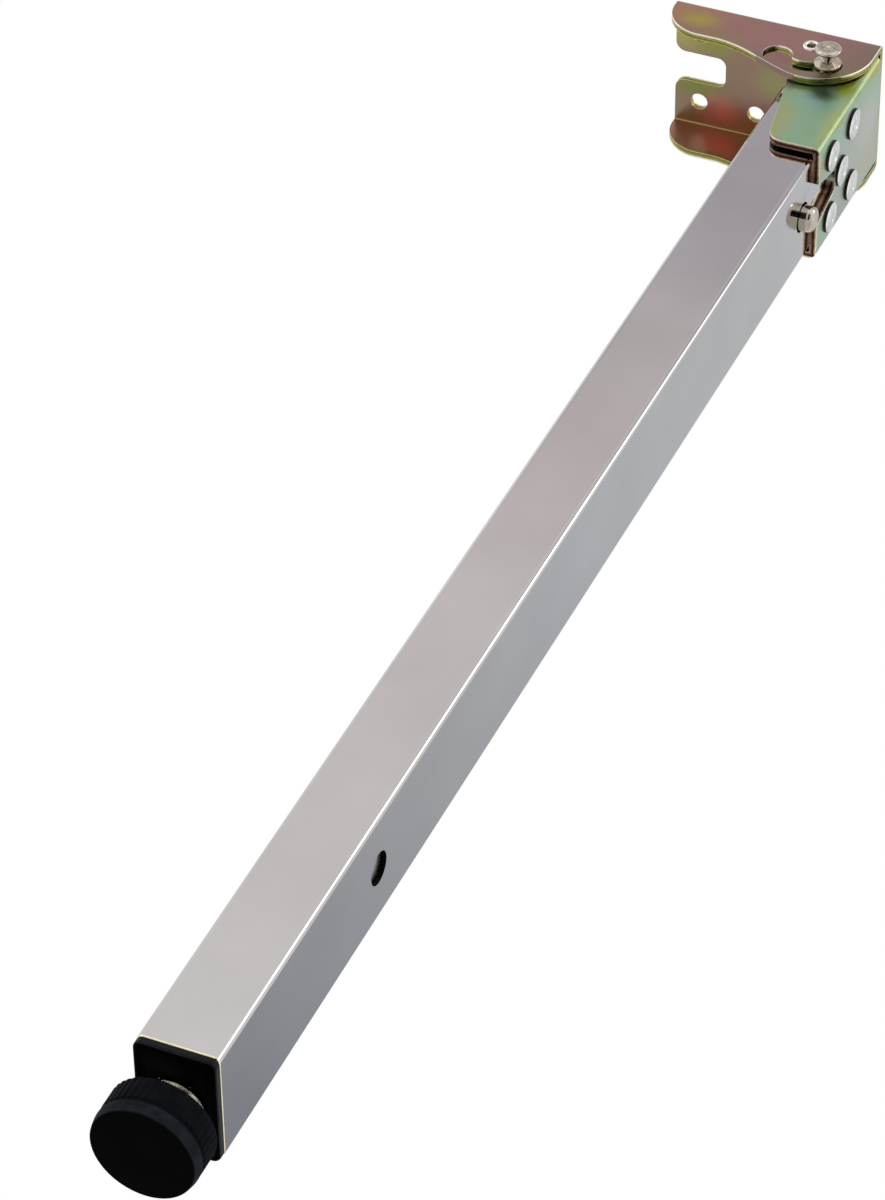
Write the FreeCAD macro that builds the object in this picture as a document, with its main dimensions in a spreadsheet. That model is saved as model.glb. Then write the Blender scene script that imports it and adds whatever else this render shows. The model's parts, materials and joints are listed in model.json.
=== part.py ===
import FreeCAD, Part
import math
import os
import re
import Sketcher

# Folding, telescopic table leg in its short setting, hanging below the table top.
#
# Frame: +Z up, origin on the mounting face of the base bracket, on the centre line of the
# leg tube.  The leg hangs down along -Z and folds towards -X.  The lock knob is on -Y, the
# snap button of the telescopic tubes looks along +X.

# Every size that can be set by itself, in millimetres: alias, value, what it is.
SIZES = [
    ("sheet_thickness", 2.0, "steel sheet of bracket and clip"),
    ("bend_radius", 0.5, "inner radius of the sheet bends"),
    # leg tubes
    ("tube_width_x", 20.0, "outer tube, narrow side"),
    ("tube_width_y", 30.0, "outer tube, wide side"),
    ("tube_wall", 1.0, "wall of both tubes"),
    ("tube_corner", 1.5, "outer corner radius of the outer tube"),
    ("tube_clearance", 0.2, "play between the tubes, each side"),
    ("tube_end_depth", 420.0, "mounting face to lower end of the outer tube"),
    ("inner_gap", 3.1, "lowest rivet tails to the upper end of the inner tube, leg short"),
    ("end_bevel", 0.3, "outer bevel of the tube ends"),
    # snap button
    ("button_edge", 5.7, "upper end of the inner tube to its button hole"),
    ("extension", 278.5, "how far the leg pulls out"),
    ("button_radius", 3.7, "snap button"),
    ("button_height", 3.8, "snap button above the outer tube"),
    ("button_shoulder", 1.9, "rounding at the end of the button"),
    ("button_play", 0.6, "button to its holes, radial"),
    ("spring_sheet", 0.8, "spring steel of the button clip"),
    ("spring_width", 10.0, "width of the button clip"),
    ("spring_leg", 30.0, "straight leg of the clip below the button"),
    ("spring_tip", 6.0, "clip above the button axis"),
    ("spring_play", 0.1, "clip to the tube wall"),
    ("spring_return", 22.0, "straight rear leg of the clip"),
    # base bracket
    ("screw_pitch_x", 17.0, "screw holes along the plate"),
    ("screw_pitch_y", 22.0, "screw holes across the plate"),
    ("screw_offset", 32.8, "leg centre line to the middle of the screw holes"),
    ("screw_hole", 2.5, "radius of the screw holes"),
    ("screw_edge", 7.2, "last screw hole to the end of the plate"),
    ("relief_half", 4.7, "half width of the open cut-out"),
    ("relief_length", 14.9, "length of the open cut-out"),
    ("relief_corner", 2.5, "inner corners of the cut-out"),
    ("arm_corner", 3.0, "outer corners of the two arms"),
    ("heel_start", 3.5, "depth where the flange end starts to curve"),
    ("heel_radius", 11.5, "curve of the flange end"),
    ("heel_length", 10.0, "length of that curve"),
    ("heel_depth", 15.2, "depth of the flange along the arms"),
    ("heel_flat", 7.5, "straight part of the rim"),
    ("sweep_radius", 34.0, "hollow curve of the rim"),
    ("lobe_radius", 15.5, "round lobe of the flange"),
    ("rim_web", 1.3, "metal left below the arc slot"),
    ("front_land", 6.25, "metal left beside the front end hole"),
    # pivot and lock
    ("pivot_offset", 6.3, "pivot to the leg centre line"),
    ("pivot_depth", 9.0, "mounting face to the pivot"),
    ("pivot_radius", 1.9, "shank of the pivot rivets"),
    ("pivot_bore", 1.3, "hollow of the pivot rivets"),
    ("pivot_lip", 2.45, "rolled lip of the pivot rivets"),
    ("lip_height", 0.5, "height of that lip"),
    ("pivot_head", 3.2, "flat head of the pivot rivets"),
    ("head_height", 0.9, "height of that head"),
    ("running_play", 0.05, "play of a pin in its bore, radial"),
    ("slot_radius", 10.2, "arc slot, centre line about the pivot"),
    ("slot_width", 4.6, "arc slot"),
    ("neck_radius", 2.15, "neck and tail of the lock pin"),
    ("collar_radius", 4.1, "locking collar"),
    ("collar_length", 4.1, "length of the locking collar"),
    ("pin_to_tube", 0.7, "locking collar to the upper end of the tube"),
    ("knob_radius", 3.7, "knob on the lock pin"),
    ("knob_height", 3.9, "height of the knob"),
    ("knob_cone", 2.9, "tapered part of that height"),
    ("knob_throat", 1.8, "radius of the knob where it meets the pin"),
    ("knob_bevel", 0.4, "bevel of the knob"),
    ("pin_bevel", 0.3, "bevels of the lock pin"),
    ("knob_gap", 1.9, "knob above the flange, lock released"),
    ("ring_gap", 0.35, "stop ring of the pin above the flange, lock released"),
    ("ring_radius", 3.8, "stop ring"),
    ("ring_height", 0.7, "rim of the stop ring"),
    ("ring_taper", 0.6, "tapered side of the stop ring"),
    ("spigot_radius", 1.45, "riveted spigot in the knob"),
    ("coil_wire", 0.4, "radius of the lock spring wire"),
    ("coil_radius", 3.1, "mean radius of the lock spring"),
    ("coil_turns", 6.0, "turns of the lock spring"),
    # clip of the leg
    ("flap_gap", 1.0, "clip flap to the side of the tube"),
    ("flap_clearance", 0.5, "clip flap to bracket flange"),
    ("clip_top", 3.0, "mounting face to the upper edge of the clip"),
    ("clip_end", 51.6, "mounting face to the lower edge of the clip"),
    ("ear_radius", 6.0, "rounded ear round the pivot"),
    ("ear_reach", 4.2, "ear beyond the pivot"),
    ("flap_foot", 3.1, "lower end of the slanted flap edge, beyond the centre line"),
    ("flap_corner", 4.5, "lower corner of the flap"),
    ("notch_mouth", 6.6, "half width of the thumb notch at the edge"),
    ("notch_throat", 4.0, "radius of the end of the thumb notch"),
    ("notch_depth", 14.1, "depth of the thumb notch"),
    # blind rivets
    ("rivet_radius", 2.4, "shank of the blind rivets"),
    ("rivet_head", 4.4, "head of the blind rivets"),
    ("rivet_dome", 1.1, "height of that head"),
    ("rivet_rim", 0.55, "edge of that head"),
    ("rivet_crown", 3.0, "radius at which the head turns flatter"),
    ("rivet_tail", 3.4, "formed tail of the blind rivets"),
    ("tail_length", 3.0, "length of that tail"),
    ("mandrel_radius", 1.1, "mandrel hole in the head"),
    ("mandrel_depth", 0.6, "depth of the mandrel hole"),
    ("rivet_pitch_y", 20.0, "outer rivets across the web"),
    ("rivet_row_top", 25.5, "mounting face to the upper pair"),
    ("rivet_row_mid", 33.8, "mounting face to the middle rivet"),
    ("rivet_row_low", 42.0, "mounting face to the lower pair"),
    # end plug and foot
    ("plug_seat", 0.2, "outer tube end to the plug flange"),
    ("plug_flange", 2.5, "height of the plug flange"),
    ("plug_round", 1.0, "rounding of the plug flange"),
    ("plug_length", 18.0, "plug inside the tube"),
    ("plug_play", 0.1, "plug to the tube wall"),
    ("plug_wall", 1.8, "walls of the plug"),
    ("plug_floor", 8.0, "solid floor of the plug round the nut"),
    ("nut_flats", 13.0, "across flats of nut and bolt head"),
    ("nut_height", 6.5, "nut"),
    ("nut_recess", 0.3, "room above the nut in its pocket"),
    ("nut_collar", 7.4, "radius of the nut's round collar"),
    ("collar_height", 0.8, "height of that collar"),
    ("hex_play", 0.1, "play of a hexagon in its pocket"),
    ("stem_radius", 4.0, "levelling screw"),
    ("stem_up", 14.6, "levelling screw above the plug face"),
    ("stem_chamfer", 0.8, "tip of the levelling screw"),
    ("bolt_head", 5.3, "head of the levelling screw"),
    ("foot_gap", 4.3, "plug face to the washer"),
    ("washer_height", 1.5, "washer"),
    ("washer_radius", 9.0, "washer"),
    ("washer_play", 0.1, "washer to screw and pad"),
    ("pad_radius", 13.0, "foot pad"),
    ("pad_grip", 6.5, "ribbed part of the pad"),
    ("pad_groove", 1.0, "groove below the ribs"),
    ("groove_depth", 0.6, "depth of that groove"),
    ("pad_height", 10.9, "foot pad"),
    ("pad_round", 1.4, "rounding of the pad's lower edge"),
    ("rib_count", 44, "ribs round the pad"),
    ("rib_depth", 0.5, "depth of the flutes between the ribs"),
]

doc = FreeCAD.newDocument("folding_table_leg")
sheet = doc.addObject("Spreadsheet::Sheet", "sizes")
for row, (alias, value, meaning) in enumerate(SIZES, start=1):
    sheet.set(f"A{row}", alias)
    sheet.set(f"B{row}", str(value))
    sheet.set(f"C{row}", meaning)
    sheet.setAlias(f"B{row}", alias)
doc.recompute()
ALIASES = {alias for alias, _, _ in SIZES}

# Places that several pieces share, written once as expressions of the sheet.
PIN_STEP = "(slot_radius * cos(45))"
PIN_X = f"({PIN_STEP} - pivot_offset)"
PIN_DEPTH = f"(pivot_depth + {PIN_STEP})"
TUBE_TOP = f"({PIN_DEPTH} + collar_radius + pin_to_tube)"
INNER_TOP = "(rivet_row_low + rivet_tail + inner_gap)"
CLIP_INNER = "(tube_width_y / 2 + flap_gap)"
CLIP_OUTER = f"({CLIP_INNER} + sheet_thickness)"
FLANGE_INNER = f"({CLIP_OUTER} + flap_clearance)"
FLANGE_OUTER = f"({FLANGE_INNER} + sheet_thickness)"
WEB_OUTER = "(tube_width_x / 2 + sheet_thickness)"
END_HOLE = "(collar_radius + running_play)"
PIVOT_HOLE = "(pivot_radius + running_play)"
RIVET_HOLE = "(rivet_radius + running_play)"
BUTTON_HOLE = "(button_radius + button_play)"
BUTTON_DEPTH = f"({INNER_TOP} + button_edge + {BUTTON_HOLE})"
PLATE_LEFT = "(-screw_offset - screw_pitch_x / 2 - screw_edge)"
PLATE_RIGHT = f"({PIN_X} + {END_HOLE} + front_land)"
INNER_HALF_X = "(tube_width_x / 2 - tube_wall - tube_clearance)"
INNER_HALF_Y = "(tube_width_y / 2 - tube_wall - tube_clearance)"
INNER_END = "(tube_end_depth + plug_seat)"
PLUG_FACE = f"({INNER_END} + plug_flange)"
WASHER_TOP = f"({PLUG_FACE} + foot_gap)"
PAD_TOP = f"({WASHER_TOP} + washer_height + washer_play)"


def bound(expression):
    """The same expression with every alias read from the sheet."""
    return re.sub(r"[A-Za-z_]+", lambda m: "sizes." + m.group() if m.group() in ALIASES else m.group(), expression)


def value(expression):
    """The number that an expression of the sheet gives."""
    return float(sheet.evalExpression(expression))


def new_body(label):
    """An empty body whose label names its file."""
    body = doc.addObject("PartDesign::Body", label)
    body.Label = label
    return body


def new_sketch(body, name, role, offset=None, rise=None):
    """A sketch on one of the body's own origin planes, moved off it and up in it by expressions."""
    sketch = body.newObject("Sketcher::SketchObject", name)
    plane = [f for f in body.Origin.OriginFeatures if f.Role == role][0]
    sketch.AttachmentSupport = [(plane, "")]
    sketch.MapMode = "FlatFace"
    if offset:
        sketch.setExpression("AttachmentOffset.Base.z", bound(offset))
    if rise:
        sketch.setExpression("AttachmentOffset.Base.y", bound(rise))
    return sketch


def tie_point(sketch, geometry, position, x, y, label):
    """Holds one point of the sketch at two expressions of the sheet."""
    for axis, expression in (("X", x), ("Y", y)):
        index = sketch.addConstraint(
            Sketcher.Constraint("Distance" + axis, -1, 1, geometry, position, value(expression))
        )
        sketch.renameConstraint(index, f"{label}_{axis.lower()}")
        sketch.setExpression(f"Constraints.{label}_{axis.lower()}", bound(expression))


def outline(sketch, corners, label="corner"):
    """A closed outline through corners (x, y[, radius]).

    A radius makes the edge to the next corner an arc: positive when it turns left.
    """
    places = [(value(c[0]), value(c[1])) for c in corners]
    ends = []
    for i, corner in enumerate(corners):
        (x1, y1), (x2, y2) = places[i], places[(i + 1) % len(places)]
        if len(corner) == 2:
            line = Part.LineSegment(FreeCAD.Vector(x1, y1, 0), FreeCAD.Vector(x2, y2, 0))
            ends.append((sketch.addGeometry(line, False), 1, 2))
            continue
        turn = -1 if corner[2].startswith("-") else 1
        radius = value(corner[2].lstrip("-"))
        half = math.hypot(x2 - x1, y2 - y1) / 2
        rise = turn * math.sqrt(max(radius**2 - half**2, 0.0))
        cx = (x1 + x2) / 2 - rise * (y2 - y1) / (2 * half)
        cy = (y1 + y2) / 2 + rise * (x2 - x1) / (2 * half)
        a1, a2 = math.atan2(y1 - cy, x1 - cx), math.atan2(y2 - cy, x2 - cx)
        circle = Part.Circle(FreeCAD.Vector(cx, cy, 0), FreeCAD.Vector(0, 0, 1), radius)
        start, stop = (a1, a2) if turn > 0 else (a2, a1)
        arc = sketch.addGeometry(Part.ArcOfCircle(circle, start, stop), False)
        ends.append((arc, 1, 2) if turn > 0 else (arc, 2, 1))
    for i, (geometry, _, last) in enumerate(ends):
        following = ends[(i + 1) % len(ends)]
        sketch.addConstraint(Sketcher.Constraint("Coincident", geometry, last, following[0], following[1]))
    for i, corner in enumerate(corners):
        geometry, first, _ = ends[i]
        tie_point(sketch, geometry, first, corner[0], corner[1], f"{label}{i + 1}")
        if len(corner) == 3:
            radius = corner[2].lstrip("-")
            index = sketch.addConstraint(Sketcher.Constraint("Radius", geometry, value(radius)))
            sketch.renameConstraint(index, f"{label}{i + 1}_radius")
            sketch.setExpression(f"Constraints.{label}{i + 1}_radius", bound(radius))


def disc(sketch, x, y, radius, label="hole"):
    """A circle tied to its centre and radius."""
    centre = FreeCAD.Vector(value(x), value(y), 0)
    circle = sketch.addGeometry(Part.Circle(centre, FreeCAD.Vector(0, 0, 1), value(radius)), False)
    tie_point(sketch, circle, 3, x, y, label)
    index = sketch.addConstraint(Sketcher.Constraint("Radius", circle, value(radius)))
    sketch.renameConstraint(index, f"{label}_radius")
    sketch.setExpression(f"Constraints.{label}_radius", bound(radius))


def rounded_box(sketch, half_x, half_y, radius, label="corner"):
    """A rectangle about the sketch's origin with four rounded corners."""
    outline(sketch, [
        (f"{half_x} - {radius}", f"-{half_y}", radius), (half_x, f"-{half_y} + {radius}"),
        (half_x, f"{half_y} - {radius}", radius), (f"{half_x} - {radius}", half_y),
        (f"-{half_x} + {radius}", half_y, radius), (f"-{half_x}", f"{half_y} - {radius}"),
        (f"-{half_x}", f"-{half_y} + {radius}", radius), (f"-{half_x} + {radius}", f"-{half_y}"),
    ], label)


def hexagon(sketch, flats, label="flat"):
    """A hexagon about the sketch's origin, given across its flats."""
    outline(sketch, [
        (f"{flats} / 2 / cos(30) * cos({angle})", f"{flats} / 2 / cos(30) * sin({angle})")
        for angle in (0, 60, 120, 180, 240, 300)
    ], label)


def pad(body, name, sketch, length, both=False):
    """Metal added along the sketch's normal."""
    feature = body.newObject("PartDesign::Pad", name)
    feature.Profile = sketch
    feature.setExpression("Length", bound(length))
    if both:
        feature.SideType = "Symmetric"
    doc.recompute()
    return feature


def pocket(body, name, sketch, length=None, back=False, both=False):
    """Metal removed from the sketch against its normal, or along it with back."""
    before = body.Shape.Volume
    feature = body.newObject("PartDesign::Pocket", name)
    feature.Profile = sketch
    feature.Reversed = back
    if both:
        feature.SideType = "Symmetric"
    if length:
        feature.setExpression("Length", bound(length))
    else:
        feature.Type = "ThroughAll"
    doc.recompute()
    if body.Shape.Volume > before - 1e-6:
        raise RuntimeError(f"{body.Label}: {name} removed nothing")
    return feature


def revolve(body, name, sketch, axis):
    """A full turn about the sketch's own horizontal or vertical axis."""
    feature = body.newObject("PartDesign::Revolution", name)
    feature.Profile = sketch
    feature.ReferenceAxis = (sketch, [axis])
    feature.Angle = 360.0
    doc.recompute()
    return feature


def soften(body, name, kind, size, chosen):
    """A fillet or chamfer on the edges that the test chooses."""
    before = body.Tip
    edges = [f"Edge{i}" for i, edge in enumerate(body.Shape.Edges, start=1) if chosen(edge)]
    if not edges:
        raise RuntimeError(f"{body.Label}: no edge for {name}")
    feature = body.newObject("PartDesign::" + kind, name)
    feature.Base = (before, edges)
    feature.setExpression("Radius" if kind == "Fillet" else "Size", bound(size))
    doc.recompute()
    if "Invalid" in feature.State:
        raise RuntimeError(f"{body.Label}: {name} failed")
    return feature


def upright(edge, x=None, y=None, z=None, along=None, near=0.05):
    """True for a straight edge along one axis whose middle lies at the given place."""
    if edge.Curve.TypeId != "Part::GeomLine":
        return False
    middle = edge.CenterOfMass
    run = edge.Vertexes[-1].Point - edge.Vertexes[0].Point
    wanted = [(x, middle.x), (y, middle.y), (z, middle.z)]
    if any(w is not None and abs(w - m) > near for w, m in wanted):
        return False
    return along is None or abs(abs(getattr(run, along)) - run.Length) < 1e-6


def base_bracket():
    """U channel of sheet steel: a plate with four screw holes and two shaped flanges."""
    body = new_body("base_bracket")
    section = new_sketch(body, "channel_section", "YZ_Plane", PLATE_LEFT)
    deep = f"-({PIN_DEPTH} + {END_HOLE} + 12)"
    outer_bend, inner_bend = "(bend_radius + sheet_thickness)", "bend_radius"
    outline(section, [
        (f"-{FLANGE_OUTER}", deep), (f"-{FLANGE_INNER}", deep),
        (f"-{FLANGE_INNER}", f"-{outer_bend}", f"-{inner_bend}"),
        (f"-{FLANGE_INNER} + {inner_bend}", "-sheet_thickness"),
        (f"{FLANGE_INNER} - {inner_bend}", "-sheet_thickness", f"-{inner_bend}"),
        (FLANGE_INNER, f"-{outer_bend}"), (FLANGE_INNER, deep), (FLANGE_OUTER, deep),
        (FLANGE_OUTER, f"-{outer_bend}", outer_bend), (f"{FLANGE_OUTER} - {outer_bend}", "0"),
        (f"-{FLANGE_OUTER} + {outer_bend}", "0", outer_bend), (f"-{FLANGE_OUTER}", f"-{outer_bend}"),
    ])
    pad(body, "channel", section, f"{PLATE_RIGHT} - {PLATE_LEFT}")

    # the rim: a rounded end, a hollow sweep, and a lobe that carries the arc slot
    rim = new_sketch(body, "rim_outline", "XZ_Plane")
    outline(rim, [
        (PLATE_LEFT, "-heel_start", "heel_radius"), (f"{PLATE_LEFT} + heel_length", "-heel_depth"),
        (f"{PLATE_LEFT} + heel_length + heel_flat", "-heel_depth", "-sweep_radius"),
        (f"-pivot_offset - {PIN_STEP} - {END_HOLE}", f"-{PIN_DEPTH} - 0.85 * {END_HOLE}"),
        (f"-pivot_offset - {END_HOLE}", "-pivot_depth - slot_radius - slot_width / 2 - rim_web", "lobe_radius"),
        (PLATE_RIGHT, "-pivot_depth + 1"), (f"{PLATE_RIGHT} + 2", "-pivot_depth + 1"),
        (f"{PLATE_RIGHT} + 2", f"{deep} - 2"), (f"{PLATE_LEFT} - 2", f"{deep} - 2"),
        (f"{PLATE_LEFT} - 2", "-heel_start"),
    ])
    pocket(body, "rim", rim, both=True)

    relief = new_sketch(body, "relief_outline", "XY_Plane")
    outline(relief, [
        (f"{PLATE_LEFT} - 1", "-relief_half"), (f"{PLATE_LEFT} + relief_length", "-relief_half"),
        (f"{PLATE_LEFT} + relief_length", "relief_half"), (f"{PLATE_LEFT} - 1", "relief_half"),
    ])
    pocket(body, "relief", relief, "sheet_thickness")
    holes = new_sketch(body, "screw_holes", "XY_Plane")
    for number, (sx, sy) in enumerate([("-", "-"), ("-", "+"), ("+", "-"), ("+", "+")], start=1):
        disc(holes, f"-screw_offset {sx} screw_pitch_x / 2", f"{sy}1 * screw_pitch_y / 2", "screw_hole", f"screw{number}")
    pocket(body, "screw_hole_group", holes, "sheet_thickness")

    # the arc slot about the pivot, with a round hole at each end where the collar locks
    slot = new_sketch(body, "arc_slot_outline", "XZ_Plane")
    wide, tight = "(slot_radius + slot_width / 2)", "(slot_radius - slot_width / 2)"
    outline(slot, [
        (f"-pivot_offset - {wide} * cos(45)", f"-pivot_depth - {wide} * cos(45)", wide),
        (f"-pivot_offset + {wide} * cos(45)", f"-pivot_depth - {wide} * cos(45)"),
        (f"-pivot_offset + {tight} * cos(45)", f"-pivot_depth - {tight} * cos(45)", f"-{tight}"),
        (f"-pivot_offset - {tight} * cos(45)", f"-pivot_depth - {tight} * cos(45)"),
    ])
    pocket(body, "arc_slot", slot, both=True)
    ends = new_sketch(body, "end_holes", "XZ_Plane")
    disc(ends, PIN_X, f"-{PIN_DEPTH}", END_HOLE, "use")
    disc(ends, f"-pivot_offset - {PIN_STEP}", f"-{PIN_DEPTH}", END_HOLE, "folded")
    disc(ends, "-pivot_offset", "-pivot_depth", PIVOT_HOLE, "pivot")
    pocket(body, "end_hole_group", ends, both=True)

    left, half = value(PLATE_LEFT), value("relief_half")
    soften(body, "relief_corners", "Fillet", "relief_corner", lambda e: upright(
        e, x=left + value("relief_length"), along="z") and abs(abs(e.CenterOfMass.y) - half) < 0.05)
    soften(body, "arm_corners", "Fillet", "arm_corner", lambda e: upright(
        e, x=left, along="z") and abs(abs(e.CenterOfMass.y) - half) < 0.05)
    return body


def pivot_rivet(label, side):
    """Hollow rivet through flange and clip flap; the leg turns on it."""
    body = new_body(label)
    profile = new_sketch(body, "profile", "YZ_Plane", "-pivot_offset", "-pivot_depth")
    lip, head = f"({FLANGE_OUTER} + lip_height)", f"({CLIP_INNER} - running_play)"
    outline(profile, [
        (f"{side} * ({head} - head_height)", "pivot_bore"), (f"{side} * ({head} - head_height)", "pivot_head"),
        (f"{side} * {head}", "pivot_head"), (f"{side} * {head}", "pivot_radius"),
        (f"{side} * {FLANGE_OUTER}", "pivot_radius"), (f"{side} * {FLANGE_OUTER}", "pivot_lip"),
        (f"{side} * ({lip} - lip_height / 2)", "pivot_lip"), (f"{side} * {lip}", "(pivot_lip + pivot_bore) / 2"),
        (f"{side} * ({lip} - lip_height / 2)", "pivot_bore"),
    ])
    revolve(body, "rivet", profile, "H_Axis")
    return body


def leg_clip():
    """U channel of sheet steel riveted to the tube; its flaps turn between the flanges."""
    body = new_body("leg_clip")
    ear_left = "(-pivot_offset - ear_reach)"
    outer_bend, inner_bend = "(bend_radius + sheet_thickness)", "bend_radius"
    section = new_sketch(body, "clip_section", "XY_Plane", "-clip_end")
    web_inner = "tube_width_x / 2"
    outline(section, [
        (ear_left, f"-{CLIP_OUTER}"), (f"{WEB_OUTER} - {outer_bend}", f"-{CLIP_OUTER}", outer_bend),
        (WEB_OUTER, f"-{CLIP_OUTER} + {outer_bend}"),
        (WEB_OUTER, f"{CLIP_OUTER} - {outer_bend}", outer_bend), (f"{WEB_OUTER} - {outer_bend}", CLIP_OUTER),
        (ear_left, CLIP_OUTER), (ear_left, CLIP_INNER),
        (f"{web_inner} - {inner_bend}", CLIP_INNER, f"-{inner_bend}"),
        (web_inner, f"{CLIP_INNER} - {inner_bend}"),
        (web_inner, f"-{CLIP_INNER} + {inner_bend}", f"-{inner_bend}"),
        (f"{web_inner} - {inner_bend}", f"-{CLIP_INNER}"), (ear_left, f"-{CLIP_INNER}"),
    ])
    pad(body, "channel", section, "clip_end - clip_top")

    # the flaps: an ear round the pivot and an edge that slants back to the tube
    side = new_sketch(body, "flap_outline", "XZ_Plane")
    outline(side, [
        (f"{ear_left} + ear_radius", "-clip_top", "ear_radius"), (ear_left, "-clip_top - ear_radius"),
        ("-flap_foot", "-clip_end"), ("-flap_foot", "-clip_end - 1"), (f"{ear_left} - 1", "-clip_end - 1"),
        (f"{ear_left} - 1", "-clip_top + 1"), (f"{ear_left} + ear_radius", "-clip_top + 1"),
    ])
    pocket(body, "flap_edge", side, both=True)
    soften(body, "flap_corners", "Fillet", "flap_corner", lambda e: upright(
        e, x=-value("flap_foot"), z=-value("clip_end"), along="y"))

    # the notch leaves room for the thumb that presses the snap button
    notch = new_sketch(body, "notch_outline", "YZ_Plane")
    top = "(-clip_end + notch_depth - notch_throat)"
    outline(notch, [
        ("-notch_mouth", "-clip_end - 1"), ("notch_mouth", "-clip_end - 1"), ("notch_mouth", "-clip_end"),
        ("notch_throat", top, "notch_throat"), ("0", f"{top} + notch_throat", "notch_throat"),
        ("-notch_throat", top), ("-notch_mouth", "-clip_end"),
    ])
    pocket(body, "thumb_notch", notch, back=True)
    holes = new_sketch(body, "rivet_holes", "YZ_Plane")
    for number, (across, depth) in enumerate(RIVET_PLACES, start=1):
        disc(holes, across, f"-{depth}", RIVET_HOLE, f"rivet{number}")
    pocket(body, "rivet_hole_group", holes, back=True)
    pins = new_sketch(body, "pivot_holes", "XZ_Plane")
    disc(pins, "-pivot_offset", "-pivot_depth", PIVOT_HOLE, "pivot")
    disc(pins, PIN_X, f"-{PIN_DEPTH}", "neck_radius + running_play", "guide")
    pocket(body, "pivot_hole_group", pins, both=True)
    collar = new_sketch(body, "collar_hole", "XZ_Plane")
    disc(collar, PIN_X, f"-{PIN_DEPTH}", END_HOLE, "collar")
    pocket(body, "collar_bore", collar, back=True)
    return body


# the five blind rivets on the web: place across, depth below the mounting face
RIVET_PLACES = [
    ("-rivet_pitch_y / 2", "rivet_row_top"), ("rivet_pitch_y / 2", "rivet_row_top"),
    ("0", "rivet_row_mid"),
    ("-rivet_pitch_y / 2", "rivet_row_low"), ("rivet_pitch_y / 2", "rivet_row_low"),
]


def blind_rivet(label, across, depth):
    """Blind rivet through the web of the clip and the wall of the tube."""
    body = new_body(label)
    profile = new_sketch(body, "profile", "XZ_Plane")
    seat, inside = WEB_OUTER, "(tube_width_x / 2 - tube_wall)"
    tail = f"({inside} - tail_length)"
    outline(profile, [
        (tail, "0"), (f"{seat} + rivet_dome - mandrel_depth", "0"),
        (f"{seat} + rivet_dome - mandrel_depth", "mandrel_radius"), (f"{seat} + rivet_dome", "mandrel_radius"),
        (f"{seat} + 0.9 * rivet_dome", "rivet_crown"), (f"{seat} + rivet_rim", "rivet_head"),
        (seat, "rivet_head"), (seat, "rivet_radius"), (inside, "rivet_radius"),
        (inside, "rivet_tail"), (tail, "rivet_radius / 2"),
    ])
    revolve(body, "rivet", profile, "H_Axis")
    body.setExpression("Placement.Base.y", bound(across))
    body.setExpression("Placement.Base.z", bound(f"-{depth}"))
    doc.recompute()
    return body


def tube(label, half_x, half_y, corner, top, end, openings):
    """A rectangular tube with rounded corners and round openings in its +X wall."""
    body = new_body(label)
    section = new_sketch(body, "tube_section", "XY_Plane", f"-{end}")
    rounded_box(section, half_x, half_y, corner, "outer")
    rounded_box(section, f"({half_x} - tube_wall)", f"({half_y} - tube_wall)", f"({corner} - tube_wall)", "inner")
    pad(body, "tube", section, f"{end} - {top}")
    face = new_sketch(body, "wall_openings", "YZ_Plane")
    for number, (across, depth, radius) in enumerate(openings, start=1):
        disc(face, across, f"-{depth}", radius, f"opening{number}")
    pocket(body, "wall_opening_group", face, back=True)
    half_widths = value(half_x), value(half_y)
    limits = [-value(end), -value(top)]
    soften(body, "bevelled_ends", "Chamfer", "end_bevel", lambda e: any(
        abs(e.BoundBox.ZMin - z) < 1e-4 and abs(e.BoundBox.ZMax - z) < 1e-4 for z in limits)
        and (abs(abs(e.CenterOfMass.x) - half_widths[0]) < 0.45 or abs(abs(e.CenterOfMass.y) - half_widths[1]) < 0.45)
        and (e.BoundBox.XMax > half_widths[0] - 0.01 or e.BoundBox.XMin < -half_widths[0] + 0.01
             or e.BoundBox.YMax > half_widths[1] - 0.01 or e.BoundBox.YMin < -half_widths[1] + 0.01))
    return body


def snap_button():
    """One-piece spring clip: a drawn button on a U of spring steel inside the inner tube."""
    body = new_body("snap_button")
    outside = f"({INNER_HALF_X} - tube_wall - spring_play)"
    inside = f"({outside} - spring_sheet)"
    strip = new_sketch(body, "strip_outline", "XZ_Plane", rise=f"-{BUTTON_DEPTH}")
    outline(strip, [
        (outside, "spring_tip"), (inside, "spring_tip"),
        (inside, "-spring_leg", f"-{inside}"), ("0", f"-spring_leg - {inside}", f"-{inside}"),
        (f"-{inside}", "-spring_leg"), (f"-{inside}", "spring_return - spring_leg"),
        (f"-{outside}", "spring_return - spring_leg"), (f"-{outside}", "-spring_leg", outside),
        ("0", f"-spring_leg - {outside}", outside), (outside, "-spring_leg"),
    ])
    pad(body, "strip", strip, "spring_width", both=True)
    bore = new_sketch(body, "bore_outline", "YZ_Plane", rise=f"-{BUTTON_DEPTH}")
    disc(bore, "0", "0", "button_radius - spring_sheet", "bore")
    pocket(body, "button_bore", bore, back=True)
    cup = new_sketch(body, "cup_profile", "XZ_Plane", rise=f"-{BUTTON_DEPTH}")
    tip = "(tube_width_x / 2 + button_height)"
    outline(cup, [
        (inside, "button_radius - spring_sheet"), (f"{tip} - spring_sheet", "button_radius - spring_sheet"),
        (f"{tip} - spring_sheet", "0"), (tip, "0"),
        (tip, "button_radius - button_shoulder", "button_shoulder"),
        (f"{tip} - button_shoulder", "button_radius"), (inside, "button_radius"),
    ])
    revolve(body, "cup", cup, "H_Axis")
    return body


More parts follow.
